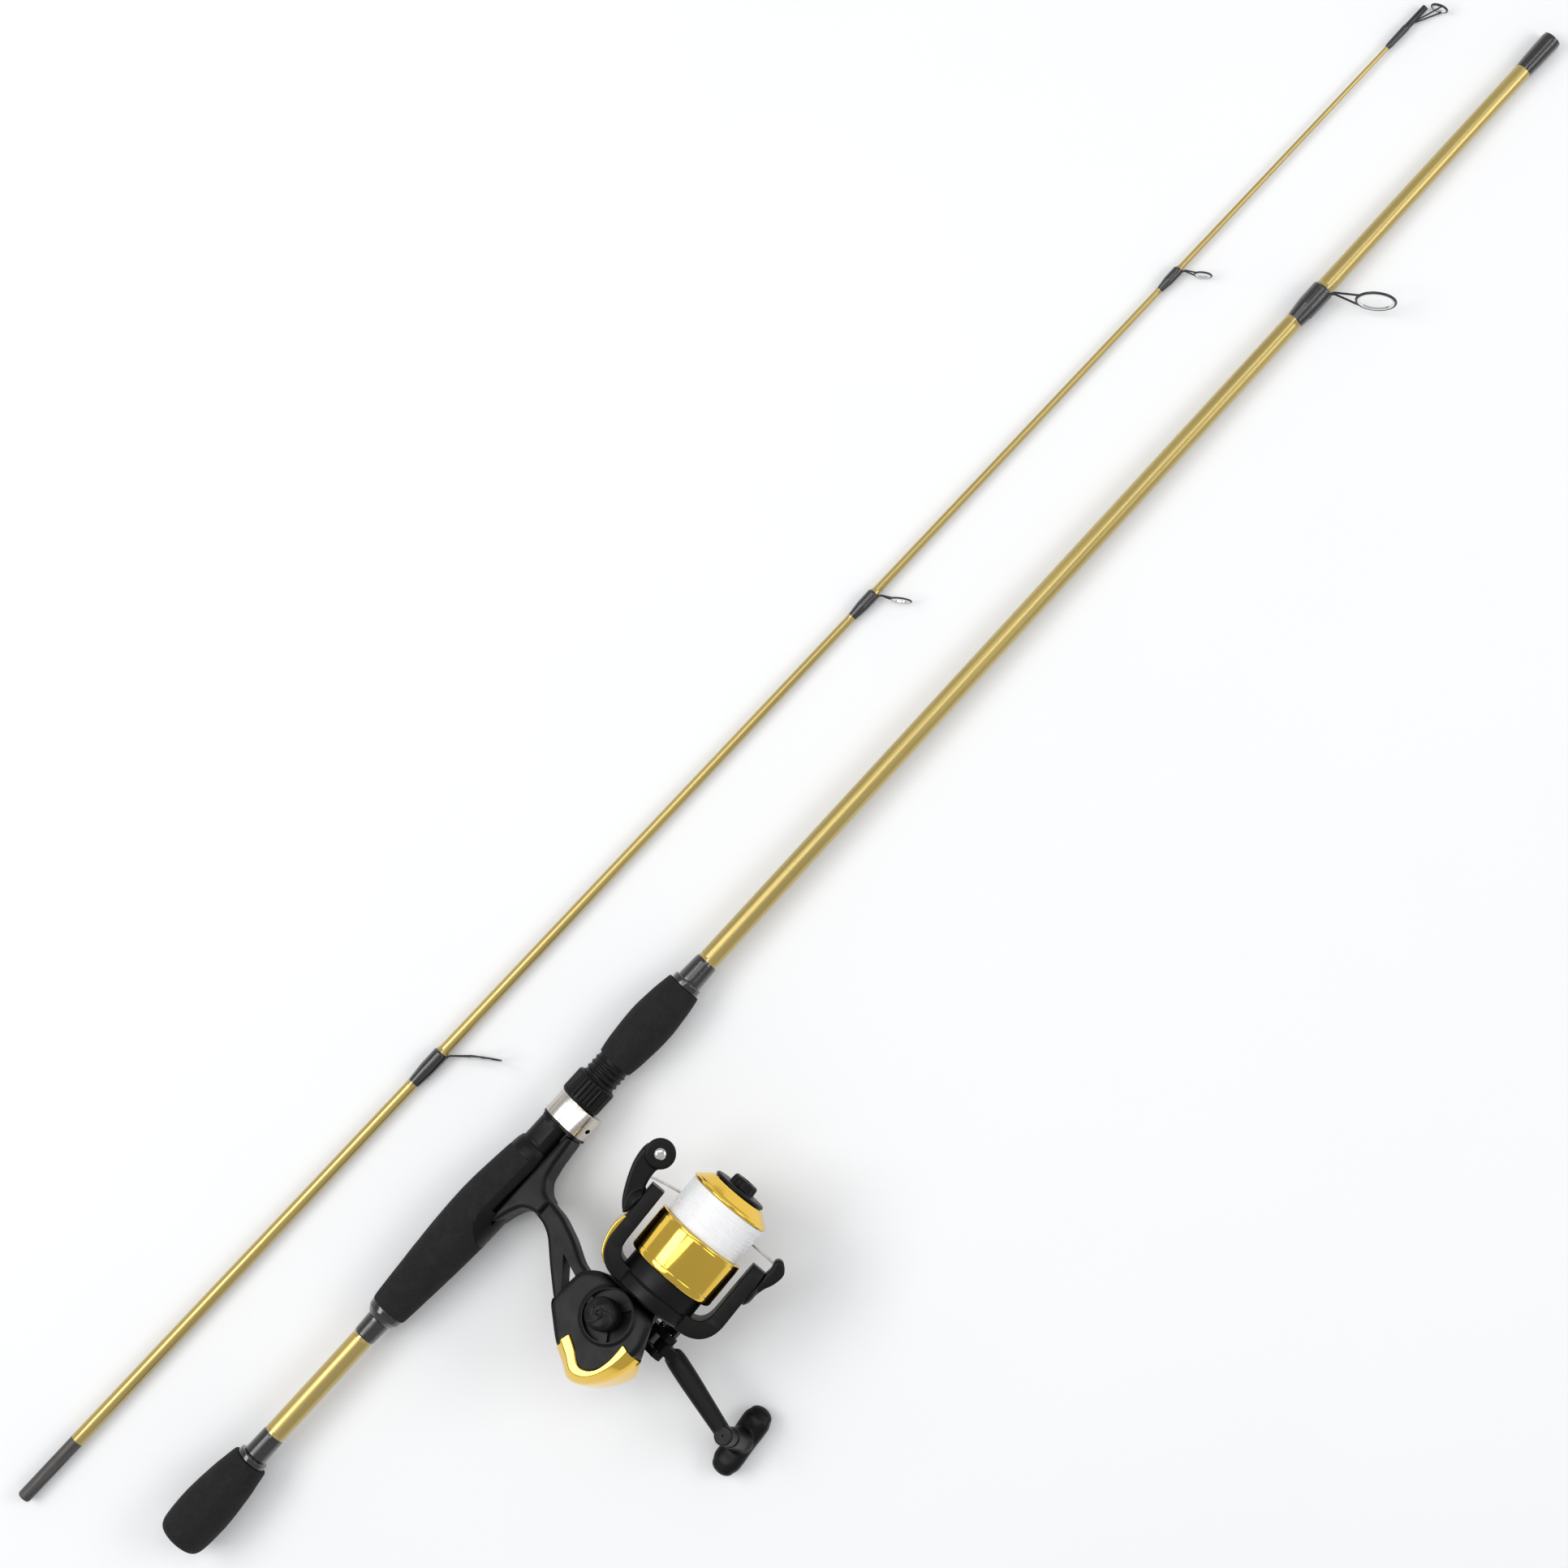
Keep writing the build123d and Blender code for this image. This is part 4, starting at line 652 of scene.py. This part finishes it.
# ---- reel seat, hood and nut --------------------------------------------------------------
seat_outline = [(200, 8.5), (254.2, 8.5), (254.2, 10.95), (255.2, 10.95), (258.6, 10.5), (261.4, 9.6),
                (261.6, 8.9), (275.2, 8.9), (275.2, 9.25), (276.4, 9.25), (276.4, 8.9), (291.5, 8.9)]
for turn in range(8):
    start = 291.5 + 3.0 * turn
    seat_outline += [(start + 0.3, 8.5), (start + 0.9, 9.12), (start + 1.7, 9.12), (start + 2.3, 8.5)]
seat_outline += [(317, 8.5)]
barrel = lathe("seat_barrel", sleeve(eased(seat_outline, 0.35, 3), 5.6), 128)
panel = eased([(263.2, -3.6), (274.2, -3.6), (274.2, 3.6), (263.2, 3.6)], 0.8, 4, True)
for near, far in ((8.25, 12), (-12, -8.25)):
    carve(barrel, prism("panel", panel, near, far, "Y"))
foot_seat = prism("foot_seat", eased([(218, -7.75), (293.4, -7.75), (293.4, 7.75), (218, 7.75)], 7.4, 8,
                                     True), -14, FOOT_TOP, "Z")
carve(barrel, foot_seat)
dress(barrel, 40)
finish_piece(barrel, rod, "butt_section", "black_plastic", ("reel_seat",))

tongue_keys = smooth_run([(203, 13.3), (218, 13.73), (230, 13.4), (244, 12.2), (254.2, 11.1),
                          (257, 10.85)], 9)
tongue = lathe("seat_tongue", sleeve(tongue_keys, 8.5), 144)
carve(tongue, prism("tongue_plan", tongue_outline(-0.05), -20, TONGUE_TOP, "Z"), "INTERSECT")
carve(tongue, prism("bite", [(225, FOOT_TOP), (262, FOOT_TOP), (262, -20), (225, -20)], -15, 15, "Y"))
toe_pocket = prism("toe_pocket", eased([(218.3, -7.7), (262, -7.7), (262, 7.7), (218.3, 7.7)], 5, 6,
                                       True), -12.6, FOOT_TOP, "Z")
carve(tongue, toe_pocket)
dress(tongue, 35)
finish_piece(tongue, rod, "butt_section", "black_plastic")


def nut_warp(x, radius, angle):
    groove = max(0, math.cos(24 * angle)) ** 2
    depth = 0.55 if 292.6 < x < 303.4 and radius > 10.3 else 0
    return x, radius - depth * groove


nut_keys = [(290.95, 9.9), (291.3, 10.6), (292.2, 10.95), (292.7, 10.95), (293.2, 10.95), (298, 10.95),
            (302.8, 10.95), (303.3, 10.95), (303.8, 10.9), (304.3, 10.5), (304.6, 9.9)]
nut = lathe("locking_nut_skin", sleeve(nut_keys, 9.25), 288, nut_warp, 40)
finish_piece(nut, rod, "nut", "black_plastic", ("locking_nut",))


def hood_outline(grow):
    top = [around(10 + grow, math.pi * k / 40) for k in range(-4, 45)]
    half = 9 + grow
    low = -(14.3 + grow)
    drop = [(-half, -5.5), (-half + 0.4, low + 4.2), (-half + 2.2, low + 1.2), (-half + 5.5, low + 0.15)]
    bottom = drop + [(-y, z) for y, z in reversed(drop)]
    return smooth_run(top + bottom, 2, True)


hood = prism("sliding_hood_skin", hood_outline(0), 277.9, 290.9, "X", 0.35, 3, 40)
hollow = prism("hollow", hood_outline(-0.8), 277.0, 290.1, "X")
carve(hood, hollow)
bore_cut = lathe("bore_cut", [(276, 0), (276, 9.25), (292, 9.25), (292, 0)], 96)
carve(hood, bore_cut)
hole = [(283.5 + 1.3 * math.cos(math.pi * k / 12), 2.5 * math.sin(math.pi * k / 12)) for k in range(24)]
carve(hood, prism("hole", hole, -18, -11, "Z"))
dress(hood, 40)
finish_piece(hood, rod, "hood", "hood_steel", ("sliding_hood",))


# ---- reel body ----------------------------------------------------------------------------
def at_depth(points):
    return [(x, -depth) for x, depth in points]


BODY_HALF = 17.3
core = at_depth([(217, 64), (205, 80.5), (199, 95), (206, 105), (219, 113), (226, 113.8), (227, 115),
                 (232, 115), (245.4, 110), (244.6, 74), (238, 66)])
stem = at_depth([(238.5, 11), (238.2, 24), (237.6, 31), (235, 37), (226, 48), (217, 60), (205, 79.5),
                 (212, 84), (243, 84), (244.6, 74), (240.5, 70), (237.6, 65.5), (238.3, 59), (243.5, 48),
                 (247.2, 36), (248, 25), (248.4, 11)])
toes = at_depth([(219.4, 9.3), (276.8, 9.3), (276.8, 13.6), (262, 15.3), (253.8, 17.2), (249.4, 21.5),
                 (248, 27), (239, 27), (238.2, 22), (235.6, 17.6), (229, 14.6), (221, 12.4)])
window = at_depth([(235, 49.5), (233.2, 56), (231.2, 63.6), (215.2, 67.6)])
cavity = at_depth([(216, 70.5), (207.5, 82.5), (202, 93), (204, 99.8), (206.8, 103.6), (232, 103.6),
                   (238, 99.5), (243.2, 96), (242.6, 76), (237, 70.5)])
cover_keys = [
    ((213.0, 84.5), (202.0, 81.5)),
    ((210.0, 91.0), (199.0, 88.5)),
    ((206.0, 97.5), (196.0, 95.2)),
    ((206.8, 102.5), (198.0, 101.5)),
    ((211.0, 106.3), (203.5, 107.2)),
    ((217.5, 107.8), (211.5, 112.2)),
    ((223.5, 107.8), (219.5, 115.2)),
    ((227.5, 107.4), (226.0, 116.0)),
]
cover_rows = smooth_run([list(a) + list(b) for a, b in cover_keys], 7)


def underside():
    """Everything below the slanted lower edge, which rises towards the handle and towards the rotor."""
    rings = []
    for x in (190, 270):
        edge = [(y, -112.6 + 0.442 * (y + BODY_HALF) + 0.525 * (x - 242)) for y in (-30, 30)]
        rings.append([(x, y, z) for y, z in edge] + [(x, 30, -190), (x, -30, -190)])
    return loft("underside", rings)


def cover_room():
    """Everything from the cover's inner edge outwards."""
    far = [(2 * row[2] - row[0], -2 * row[3] + row[1]) for row in cover_rows]
    return prism("cover_room", [(row[0], -row[1]) for row in cover_rows] + far[::-1], -25, 25, "Y")


into_rod = rod.inverted() @ shaft
to_crank = rod.inverted() @ crank
neck = shifted(lathe("neck", [(240, 0), (240, 9), (257, 9), (257, 0)], 64), into_rod)
rim = shifted(lathe("rim", [(10, 0), (10, 14.0), (18.4, 13.9), (18.4, 0)], 96), to_crank)
core_block = prism("core", eased(core, 4, 5, True), -BODY_HALF, BODY_HALF, "Y", 3.0, 4)
carve(core_block, underside())
reel_shell = moulded(
    "reel_body_skin",
    [
        core_block,
        prism("stem", eased(stem, 3, 4, True), -5.1, 5.1, "Y", 1.9, 4),
        prism("toes", eased(toes, 2, 4, True), -7.4, 7.4, "Y", 2.2, 4),
        neck,
        rim,
    ],
    0.5,
    7,
)
carve(reel_shell, prism("foot_tip", eased([(270, -6.6), (281, -6.6), (281, 6.6), (270, 6.6)], 3, 5,
                                          True), -11.6, -9.3, "Z"), "UNION")
carve(reel_shell, prism("window", eased(window, 1.0, 4, True), -20, 20, "Y"))
carve(reel_shell, prism("cavity", cavity, -13.2, 30, "Y"))
carve(reel_shell, cover_room())


def recess_outline():
    """Three pockets between the webs of the round recess."""
    pockets = []
    for start in (-22, 98, 218):
        ring = [(12.5, start + 5 + step * 10.2) for step in range(11)]
        ring += [(6.3, start + 104 - step * 9.2) for step in range(11)]
        pockets.append([(r * math.cos(math.radians(a)), r * math.sin(math.radians(a))) for r, a in ring])
    return pockets


for pocket in recess_outline():
    carve(reel_shell, shifted(prism("pocket", pocket, 15.3, 22, "X"), to_crank))
carve(reel_shell, shifted(lathe("recess", [(17.5, 0), (17.5, 12.6), (22, 12.6), (22, 0)], 96), to_crank))
carve(reel_shell, shifted(lathe("bush_bore", [(8, 0), (8, 4.52), (22, 4.52), (22, 0)], 48), to_crank))
carve(reel_shell, shifted(lathe("pinion_bore", [(240, 0), (240, 4.6), (250.5, 4.6), (250.5, 7.02),
                                                (260, 7.02), (260, 0)], 64), into_rod))
dress(reel_shell, 35)
finish_piece(reel_shell, rod, "butt_section", "black_plastic", ("reel_body",))

# Side cover over the gears, with a bore for the handle's bush.
side_outline = at_depth([(215.4, 69.2), (206.4, 82), (200.7, 93.1), (202.9, 100.4), (206.2, 104.8),
                         (232.4, 104.8), (238.7, 100.6), (244.4, 96.8), (243.9, 75.4), (237.6, 69.3)])
side_cover = prism("side_cover_skin", eased(side_outline, 1.5, 4, True), 13.05, 17.25, "Y", 0.4, 3)
carve(side_cover, shifted(lathe("side_bore", [(-25, 0), (-25, 4.52), (-10, 4.52), (-10, 0)], 48), to_crank))
carve(side_cover, underside())
carve(side_cover, cover_room())
dress(side_cover, 35)
finish_piece(side_cover, rod, "butt_section", "black_plastic", ("side_cover",))

# Gold rear cover: an inner band, a crease and an outer band that wraps round to the other side.
cover_rings = []
for row in cover_rows:
    inner = Vector((row[0], -row[1]))
    outer = Vector((row[2], -row[3]))
    out = (outer - inner).normalized()
    span = (outer - inner).length
    half_section = [(0.0, 16.4), (0.0, 18.0), (0.06 * span, 18.35), (0.43 * span, 18.3),
                    (0.49 * span, 18.0), (0.86 * span, 12.2), (0.97 * span, 9.6), (span, 6.5),
                    (span * 1.01, 0)]
    rounded = eased(half_section, 0.5, 3)
    ring = []
    for distance, y in rounded:
        spot_2d = inner + out * distance
        ring.append(Vector((spot_2d.x, -y, spot_2d.y)))
    for distance, y in reversed(rounded[:-1]):
        spot_2d = inner + out * distance
        ring.append(Vector((spot_2d.x, y, spot_2d.y)))
    cover_rings.append(ring)
cover = loft("rear_cover_skin", cover_rings, 50)
carve(cover, underside())
dress(cover, 40)
finish_piece(cover, rod, "butt_section", "gold", ("rear_cover",))


def cap_warp(x, radius, angle):
    """Knurled edge, and three curved steps across the face of the cap."""
    if radius > 7.9:
        return x, radius - 0.28 * (0.5 + 0.5 * math.cos(36 * angle))
    turn = (3 * angle + radius * 0.55) % (2 * math.pi)
    step = min(1, turn / 0.5) if turn < math.pi else max(0, 1 - (turn - math.pi) / 2.6)
    fade = max(0, min(1, (radius - 2.2) / 1.2)) * max(0, min(1, (7.4 - radius) / 0.8))
    return (x + 0.5 * step * fade if x > 28 else x), radius


cap_profile = [(19.6, 0), (19.6, 7.8), (20.0, 8.1), (20.6, 8.2), (27.0, 8.2), (27.4, 8.0), (28.3, 7.6)]
cap_profile += [(28.3 + 0.9 * (1 - (r / 7.6) ** 2), r) for r in (7.2, 6.8, 6.4, 6, 5.5, 5, 4.5, 4, 3.5,
                                                                 3, 2.6, 2.3, 2.1)]
cap_profile += [(29.6, 1.9), (29.6, 1.5), (29.0, 1.2), (28.8, 0.6), (28.8, 0)]
cap = lathe("shaft_cap_skin", cap_profile, 216, cap_warp, 40)
finish_piece(cap, crank, "crank", "black_plastic", ("shaft_cap",))

# ---- rotor --------------------------------------------------------------------------------
rotor_path = eased([(292.5, 0, 30.9), (251.2, 0, 30.6), (251.2, 0, -30.9), (293.5, 0, -30.9)], 13, 12)
rotor_line = []
for a, b in zip(rotor_path, rotor_path[1:]):
    count = max(1, int((b - a).length / 2.5))
    rotor_line += [a.lerp(b, k / count) for k in range(count)]
rotor_line.append(rotor_path[-1])
widths = [(246, 10.8), (256, 10.4), (262, 9.6), (270, 8.9), (280, 7.6), (288, 6.4), (292, 5.4), (295, 3.0)]
rotor_rings = []
for index, spot_3d in enumerate(rotor_line):
    run = heading(rotor_line, index)
    up = run.cross(Vector((0, 1, 0))).normalized()
    wide = 10.8
    for (xa, wa), (xb, wb) in zip(widths, widths[1:]):
        if xa <= spot_3d.x <= xb:
            wide = wa + (wb - wa) * (spot_3d.x - xa) / (xb - xa)
    thick = 4.4 - 0.7 * min(1, max(0, (spot_3d.x - 251) / 14))
    corner = eased([(wide, thick), (-wide, thick), (-wide, -thick), (wide, -thick)], 1.3, 4, True)
    rotor_rings.append([spot_3d + Vector((0, 1, 0)) * c.x + up * c.y for c in corner])
rotor_band = loft("rotor_band", rotor_rings, 50)
soft_end = prism("rotor_plan", eased([(246, -11), (262, -9.6), (280, -7.8), (290, -6.4), (295.2, -3.5),
                                      (295.2, 3.5), (290, 6.4), (280, 7.8), (262, 9.6), (246, 11)], 3, 4,
                                     True), -50, 50, "Z")
carve(rotor_band, soft_end, "INTERSECT")
pivot_bore = shifted(lathe("pivot_bore", [(-45, 0), (-45, 1.95), (45, 1.95), (45, 0)], 32),
                     seated((PIVOT_X, 0, 0), 90, "Y"))
carve(rotor_band, pivot_bore)
cup_outline = eased([(247, 11.4), (247, 19.2), (248.2, 20.4), (253.9, 20.5), (254.2, 19.8),
                     (254.6, 19.8), (255, 20.4), (263.8, 20.4), (263.8, 18.6), (260.6, 18.4),
                     (260.6, 3.46), (258.2, 3.46), (258.2, 11.4)], 0.35, 3, True)
cup = lathe("rotor_cup", cup_outline, 144)
carve(rotor_band, lathe("hub_clear", [(244, 0), (244, 11.4), (257.6, 11.4), (257.6, 0)], 64))
for made in (rotor_band, cup):
    dress(made, 42)
finish_piece(rotor_band, rotor, "rotor", "black_plastic", ("rotor",))
finish_piece(cup, rotor, "rotor", "black_plastic")

crescent = [(248.4, 24), (249.8, 29.4), (253.8, 33.3), (260.5, 35.7), (267, 36.3), (273, 35.2)]
crescent_back = [(273, 34.0), (262, 33.9), (256, 32.2), (252.2, 28.6), (250.2, 24)]
outline = smooth_run(crescent, 8) + smooth_run(crescent_back, 8)
arm_cover = prism("rotor_arm_cover_skin", [tuple(p) for p in outline], -8, 8, "Y", 0.4, 3, 40)
finish_piece(arm_cover, rotor, "rotor", "gold", ("rotor_arm_cover",))

# ---- bail ---------------------------------------------------------------------------------
arm_outline = [(272.8, 35.4), (278.4, 34.8), (285, 34.8), (291.5, 36.5), (298, 36.8), (300.4, 34.7),
               (303, 33.2), (306.2, 33.4), (308.4, 37), (308.4, 43.6), (306.2, 47.6), (301.9, 48.7),
               (295, 48.1), (288.8, 46.2), (283, 43.8), (278, 41.2), (274.2, 38.2)]
arm_plan = smooth_run(arm_outline, 3, True)
arm_core = prism("arm_core", arm_plan, -3.7, 4.2, "Y", 1.5, 4)
disc_place = seated((ROLLER[0], 0, ROLLER[1]), -90, "Z")
disc = shifted(lathe("disc", [(2.5, 0), (2.5, 7.5), (5.0, 7.5), (5.9, 6.7), (6.0, 0)], 64), disc_place)
pivot_boss = shifted(lathe("pivot_boss", [(34.6, 0), (34.6, 7.0), (35.8, 7.4), (37.4, 6.4), (39.4, 3.6),
                                          (39.4, 0)], 64), seated((281.2, 0, 0), -90, "Y"))
bail_arm = moulded("bail_arm_skin", [arm_core, disc, pivot_boss], 0.32, 5)
carve(bail_arm, prism("trim_under", [(270, 30), (292.8, 30), (292.8, 34.85), (270, 34.85)], -12, 12, "Y"))
roller_space = shifted(lathe("roller_space", [(-9, 0), (-9, 7.4), (2.4, 7.4), (2.4, 0)], 64), disc_place)
carve(bail_arm, roller_space)
carve(bail_arm, shifted(lathe("screw_bore", [(0, 0), (0, 1.52), (9, 1.52), (9, 0)], 32), disc_place))
dress(bail_arm, 40)
finish_piece(bail_arm, rotor, "bail", "black_plastic", ("bail_arm",))
screw_profile = [(-2, 0), (-2, 1.45), (5.7, 1.45), (5.7, 2.9), (6.5, 2.85), (7.0, 2.45), (7.25, 1.6),
                 (7.3, 0)]
screw = lathe("roller_screw_skin", screw_profile, 48)
for half_y, half_z in ((1.8, 0.3), (0.3, 1.8)):
    cross = [(-half_y, -half_z), (half_y, -half_z), (half_y, half_z), (-half_y, half_z)]
    carve(screw, prism("cross", cross, 6.6, 9, "X"))
shifted(screw, disc_place)
dress(screw, 35)
finish_piece(screw, rotor, "bail", "bright_steel", ("roller_screw",))
pin = lathe("bail_pivot_a", [(30, 0), (30, 1.86), (36, 1.86), (36, 0)], 32)
pin_b = lathe("bail_pivot_b", [(-36, 0), (-36, 1.86), (-30, 1.86), (-30, 0)], 32)
for made in (pin, pin_b):
    shifted(made, seated((PIVOT_X, 0, 0), -90, "Y"))
    finish_piece(made, rotor, "bail", "bright_steel")

lever_outline = [(275.4, -34.4), (281, -34.6), (288, -34.6), (293.4, -34.7), (297.4, -35.2), (301, -34.3),
                 (303.0, -35.9), (302.6, -38.6), (298.4, -41.9), (292, -41.0), (288, -39.1), (284, -37.9),
                 (278, -36.7)]
lever_core = prism("lever_core", smooth_run(lever_outline, 3, True), -4.2, 4.4, "Y", 1.6, 4)
lever_boss = shifted(lathe("lever_boss", [(-37.4, 0), (-37.4, 4.4), (-36.0, 6.6), (-34.7, 6.8),
                                          (-34.7, 0)], 64), seated((281.6, 0, 0), -90, "Y"))
lever = moulded("bail_lever_skin", [lever_core, lever_boss], 0.32, 5)
dress(lever, 40)
finish_piece(lever, rotor, "bail", "black_plastic", ("bail_lever",))

route = [(299.3, 2, -38), (298.4, 12, -36.5), (297.4, 26, -31), (296.4, 37, -22), (295.8, 43.6, -12),
         (295, 46.2, 0), (294, 43, 12), (293, 34, 24.5), (292.3, 24, 33), (292.4, 15, 37.5),
         (298.6, 8.6, 39.6), (303.4, 5.2, 40.4)]
wire_line = [Vector(row) for row in smooth_run(route, 10)]
wire_rings = []
for index, here in enumerate(wire_line):
    run = heading(wire_line, index)
    across = run.cross(Vector((1, 0, 0.2))).normalized()
    wire_rings.append(oval(here, across, run.cross(across), 0.8, 0.8, 2.0, 20))
bail_wire = loft("bail_wire_skin", wire_rings)
finish_piece(bail_wire, rotor, "bail", "bright_steel", ("bail_wire",))
wire_foot = lathe("bail_wire_foot", [(-2.3, 0), (-2.3, 6.0), (-2.8, 6.2), (-4.6, 4.6), (-5.7, 3.0),
                                     (-5.7, 0)], 64)
shifted(wire_foot, disc_place)
finish_piece(wire_foot, rotor, "bail", "black_plastic")

# ---- spool --------------------------------------------------------------------------------
skirt_outline = [(264, 21.8), (264, 23.0), (264.5, 23.5), (265.4, 23.75), (267.2, 23.75), (267.5, 23.6),
                 (267.8, 23.75), (286.2, 23.75), (286.6, 23.55), (287.0, 23.75), (287.6, 23.7),
                 (288, 23.2), (288, 13.1), (308, 13.1), (308, 20.6), (308.2, 21.3), (308.7, 21.7),
                 (309.3, 21.7), (309.7, 21.3), (309.9, 20.7), (310.5, 20.3), (314.6, 14.8),
                 (315.0, 14.2), (315.0, 12.2), (305.5, 12.2), (305.5, 2.1), (269, 2.1), (269, 6),
                 (285.4, 6), (285.4, 21.8)]
spool_skin = lathe("spool_skin", eased(skirt_outline, 0.25, 3, True), 192, None, 42)
finish_piece(spool_skin, shaft, "spool", "gold", ("spool",))

turns = []
TURN_PITCH = 0.34
turn_count = int((307.9 - 288.1) / TURN_PITCH)
for index in range(turn_count * 6 + 1):
    x = 288.1 + (307.9 - 288.1) * index / (turn_count * 6)
    share = (x - 288.1) / 19.8
    crown = 20.95 + 0.14 * math.sin(math.pi * share)
    crown += 0.05 * math.sin(share * 23) + 0.03 * math.sin(share * 61)
    turns.append((x, crown + 0.05 * abs(math.sin(math.pi * index / 6))))


def winding_warp(x, radius, angle):
    """Fine crossings where the turns run over each other."""
    if radius < 15:
        return x, radius
    return x, radius + 0.012 * math.sin(5 * angle + x * 1.7) + 0.010 * math.sin(3 * angle - x * 2.9)


winding = lathe("line_winding_skin", sleeve(turns, 13.12), 160, winding_warp, 80)
finish_piece(winding, shaft, "spool", "line", ("line_winding",))


def knob_warp(x, radius, angle):
    flute = 0.5 + 0.5 * math.cos(10 * angle)
    return x, radius - (0.3 * flute ** 2 if x > 317.3 and 5.4 < radius < 7.3 else 0)


drag_outline = eased([(315.35, 13.7), (315.5, 14.1), (316.3, 14.1), (316.9, 13.5), (317.0, 7.8),
                      (317.2, 7.0), (320.9, 6.7), (321.7, 5.8), (321.7, 3.2), (321.2, 2.8)], 0.4, 3)
drag_profile = [(310.6, 0), (310.6, 11.5), (315.35, 11.5)] + drag_outline + [(321.2, 0)]
drag = lathe("drag_knob_skin", drag_profile, 180, knob_warp, 40)
finish_piece(drag, shaft, "drag", "black_plastic", ("drag_knob",))

# ---- handle -------------------------------------------------------------------------------
start = Vector((DRIVE[0], HINGE[0] + 3.2, HINGE[1] - 7.5))
stop = Vector(ARM_END[0:1] + ARM_END[1:2] + ARM_END[2:3])
keys = []
for share, wide, high in ((0, 4.9, 3.7), (0.08, 5.2, 4.1), (0.3, 5.15, 4.2), (0.6, 4.7, 3.95),
                          (0.85, 4.3, 3.7), (1, 4.1, 3.6)):
    spot_3d = start.lerp(stop, share)
    keys.append((spot_3d.x, spot_3d.y, spot_3d.z, wide, high, 2.2))
arm_bar = limb("arm_bar", keys, (1, 0, 0), 6, 40, (True, False))
tongue_points = [(HINGE[0] - 3.6, HINGE[1]), (HINGE[0] - 3.6, HINGE[1] - 3),
                 (HINGE[0] + 0.6, HINGE[1] - 11), (HINGE[0] + 6.6, HINGE[1] - 9.4),
                 (HINGE[0] + 3.7, HINGE[1])]
tongue_arc = [around(3.6, math.pi * k / 12, HINGE) for k in range(1, 12)]
arm_tongue = prism("arm_tongue", tongue_points + tongue_arc, DRIVE[0] - 2.9, DRIVE[0] + 2.9, "X", 0.4, 2)
end_place = seated(ARM_END, 90, "Z")
boss = shifted(lathe("boss", [(-4.4, 0), (-4.4, 4.5), (-3.8, 4.9), (4.0, 4.9), (4.5, 4.6), (4.5, 0)],
                     64), end_place)
arm_skin = moulded("handle_arm_skin", [arm_bar, arm_tongue, boss], 0.36, 5)
carve(arm_skin, shifted(lathe("end_hole", [(-6, 0), (-6, 0.7), (-3.4, 0.7), (-3.4, 0)], 24), end_place))
carve(arm_skin, shifted(lathe("spindle_bore", [(0, 0), (0, 2.02), (9, 2.02), (9, 0)], 32), end_place))
hinge_bore = shifted(lathe("hinge_bore", [(-12, 0), (-12, 1.66), (12, 1.66), (12, 0)], 32),
                     Matrix.Translation(Vector((DRIVE[0], HINGE[0], HINGE[1])) * MM))
carve(arm_skin, hinge_bore)
dress(arm_skin, 40)
finish_piece(arm_skin, rod, "handle", "black_plastic", ("handle_arm",))

SLOPE = math.radians(-6)
lobe = Vector((math.cos(SLOPE), 0, -math.sin(SLOPE)))
paddle_keys = []
for share, wide, high, drop in ((-15.2, 6.2, 4.3, 0.3), (-12.5, 7.3, 4.9, 0.1), (-8, 7.4, 4.7, 0.3),
                                (-3.5, 7.2, 4.6, 0.5), (0, 7.1, 4.6, 0.6), (3.5, 7.2, 4.6, 0.5),
                                (8, 7.4, 4.7, 0.3), (12.5, 7.3, 4.9, 0.1), (15.2, 6.2, 4.3, 0.3)):
    spot_3d = Vector((ARM_END[0], 75.5 + drop, ARM_END[2])) + lobe * share
    paddle_keys.append((spot_3d.x, spot_3d.y, spot_3d.z, high, wide, 2.4))
paddle = limb("paddle", paddle_keys, (0, 1, 0), 5, 44)
knob_stem = shifted(lathe("knob_stem", [(5.2, 0), (5.2, 4.9), (6.4, 5.3), (18, 5.9), (22, 7.0),
                                        (26, 6.5), (26, 0)], 64), end_place)
knob = moulded("handle_knob_skin", [paddle, knob_stem], 0.42, 9)
carve(knob, shifted(lathe("knob_bore", [(4, 0), (4, 2.06), (20.5, 2.06), (20.5, 0)], 32), end_place))
dress(knob, 40)
finish_piece(knob, rod, "knob", "black_plastic", ("handle_knob",))

low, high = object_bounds()
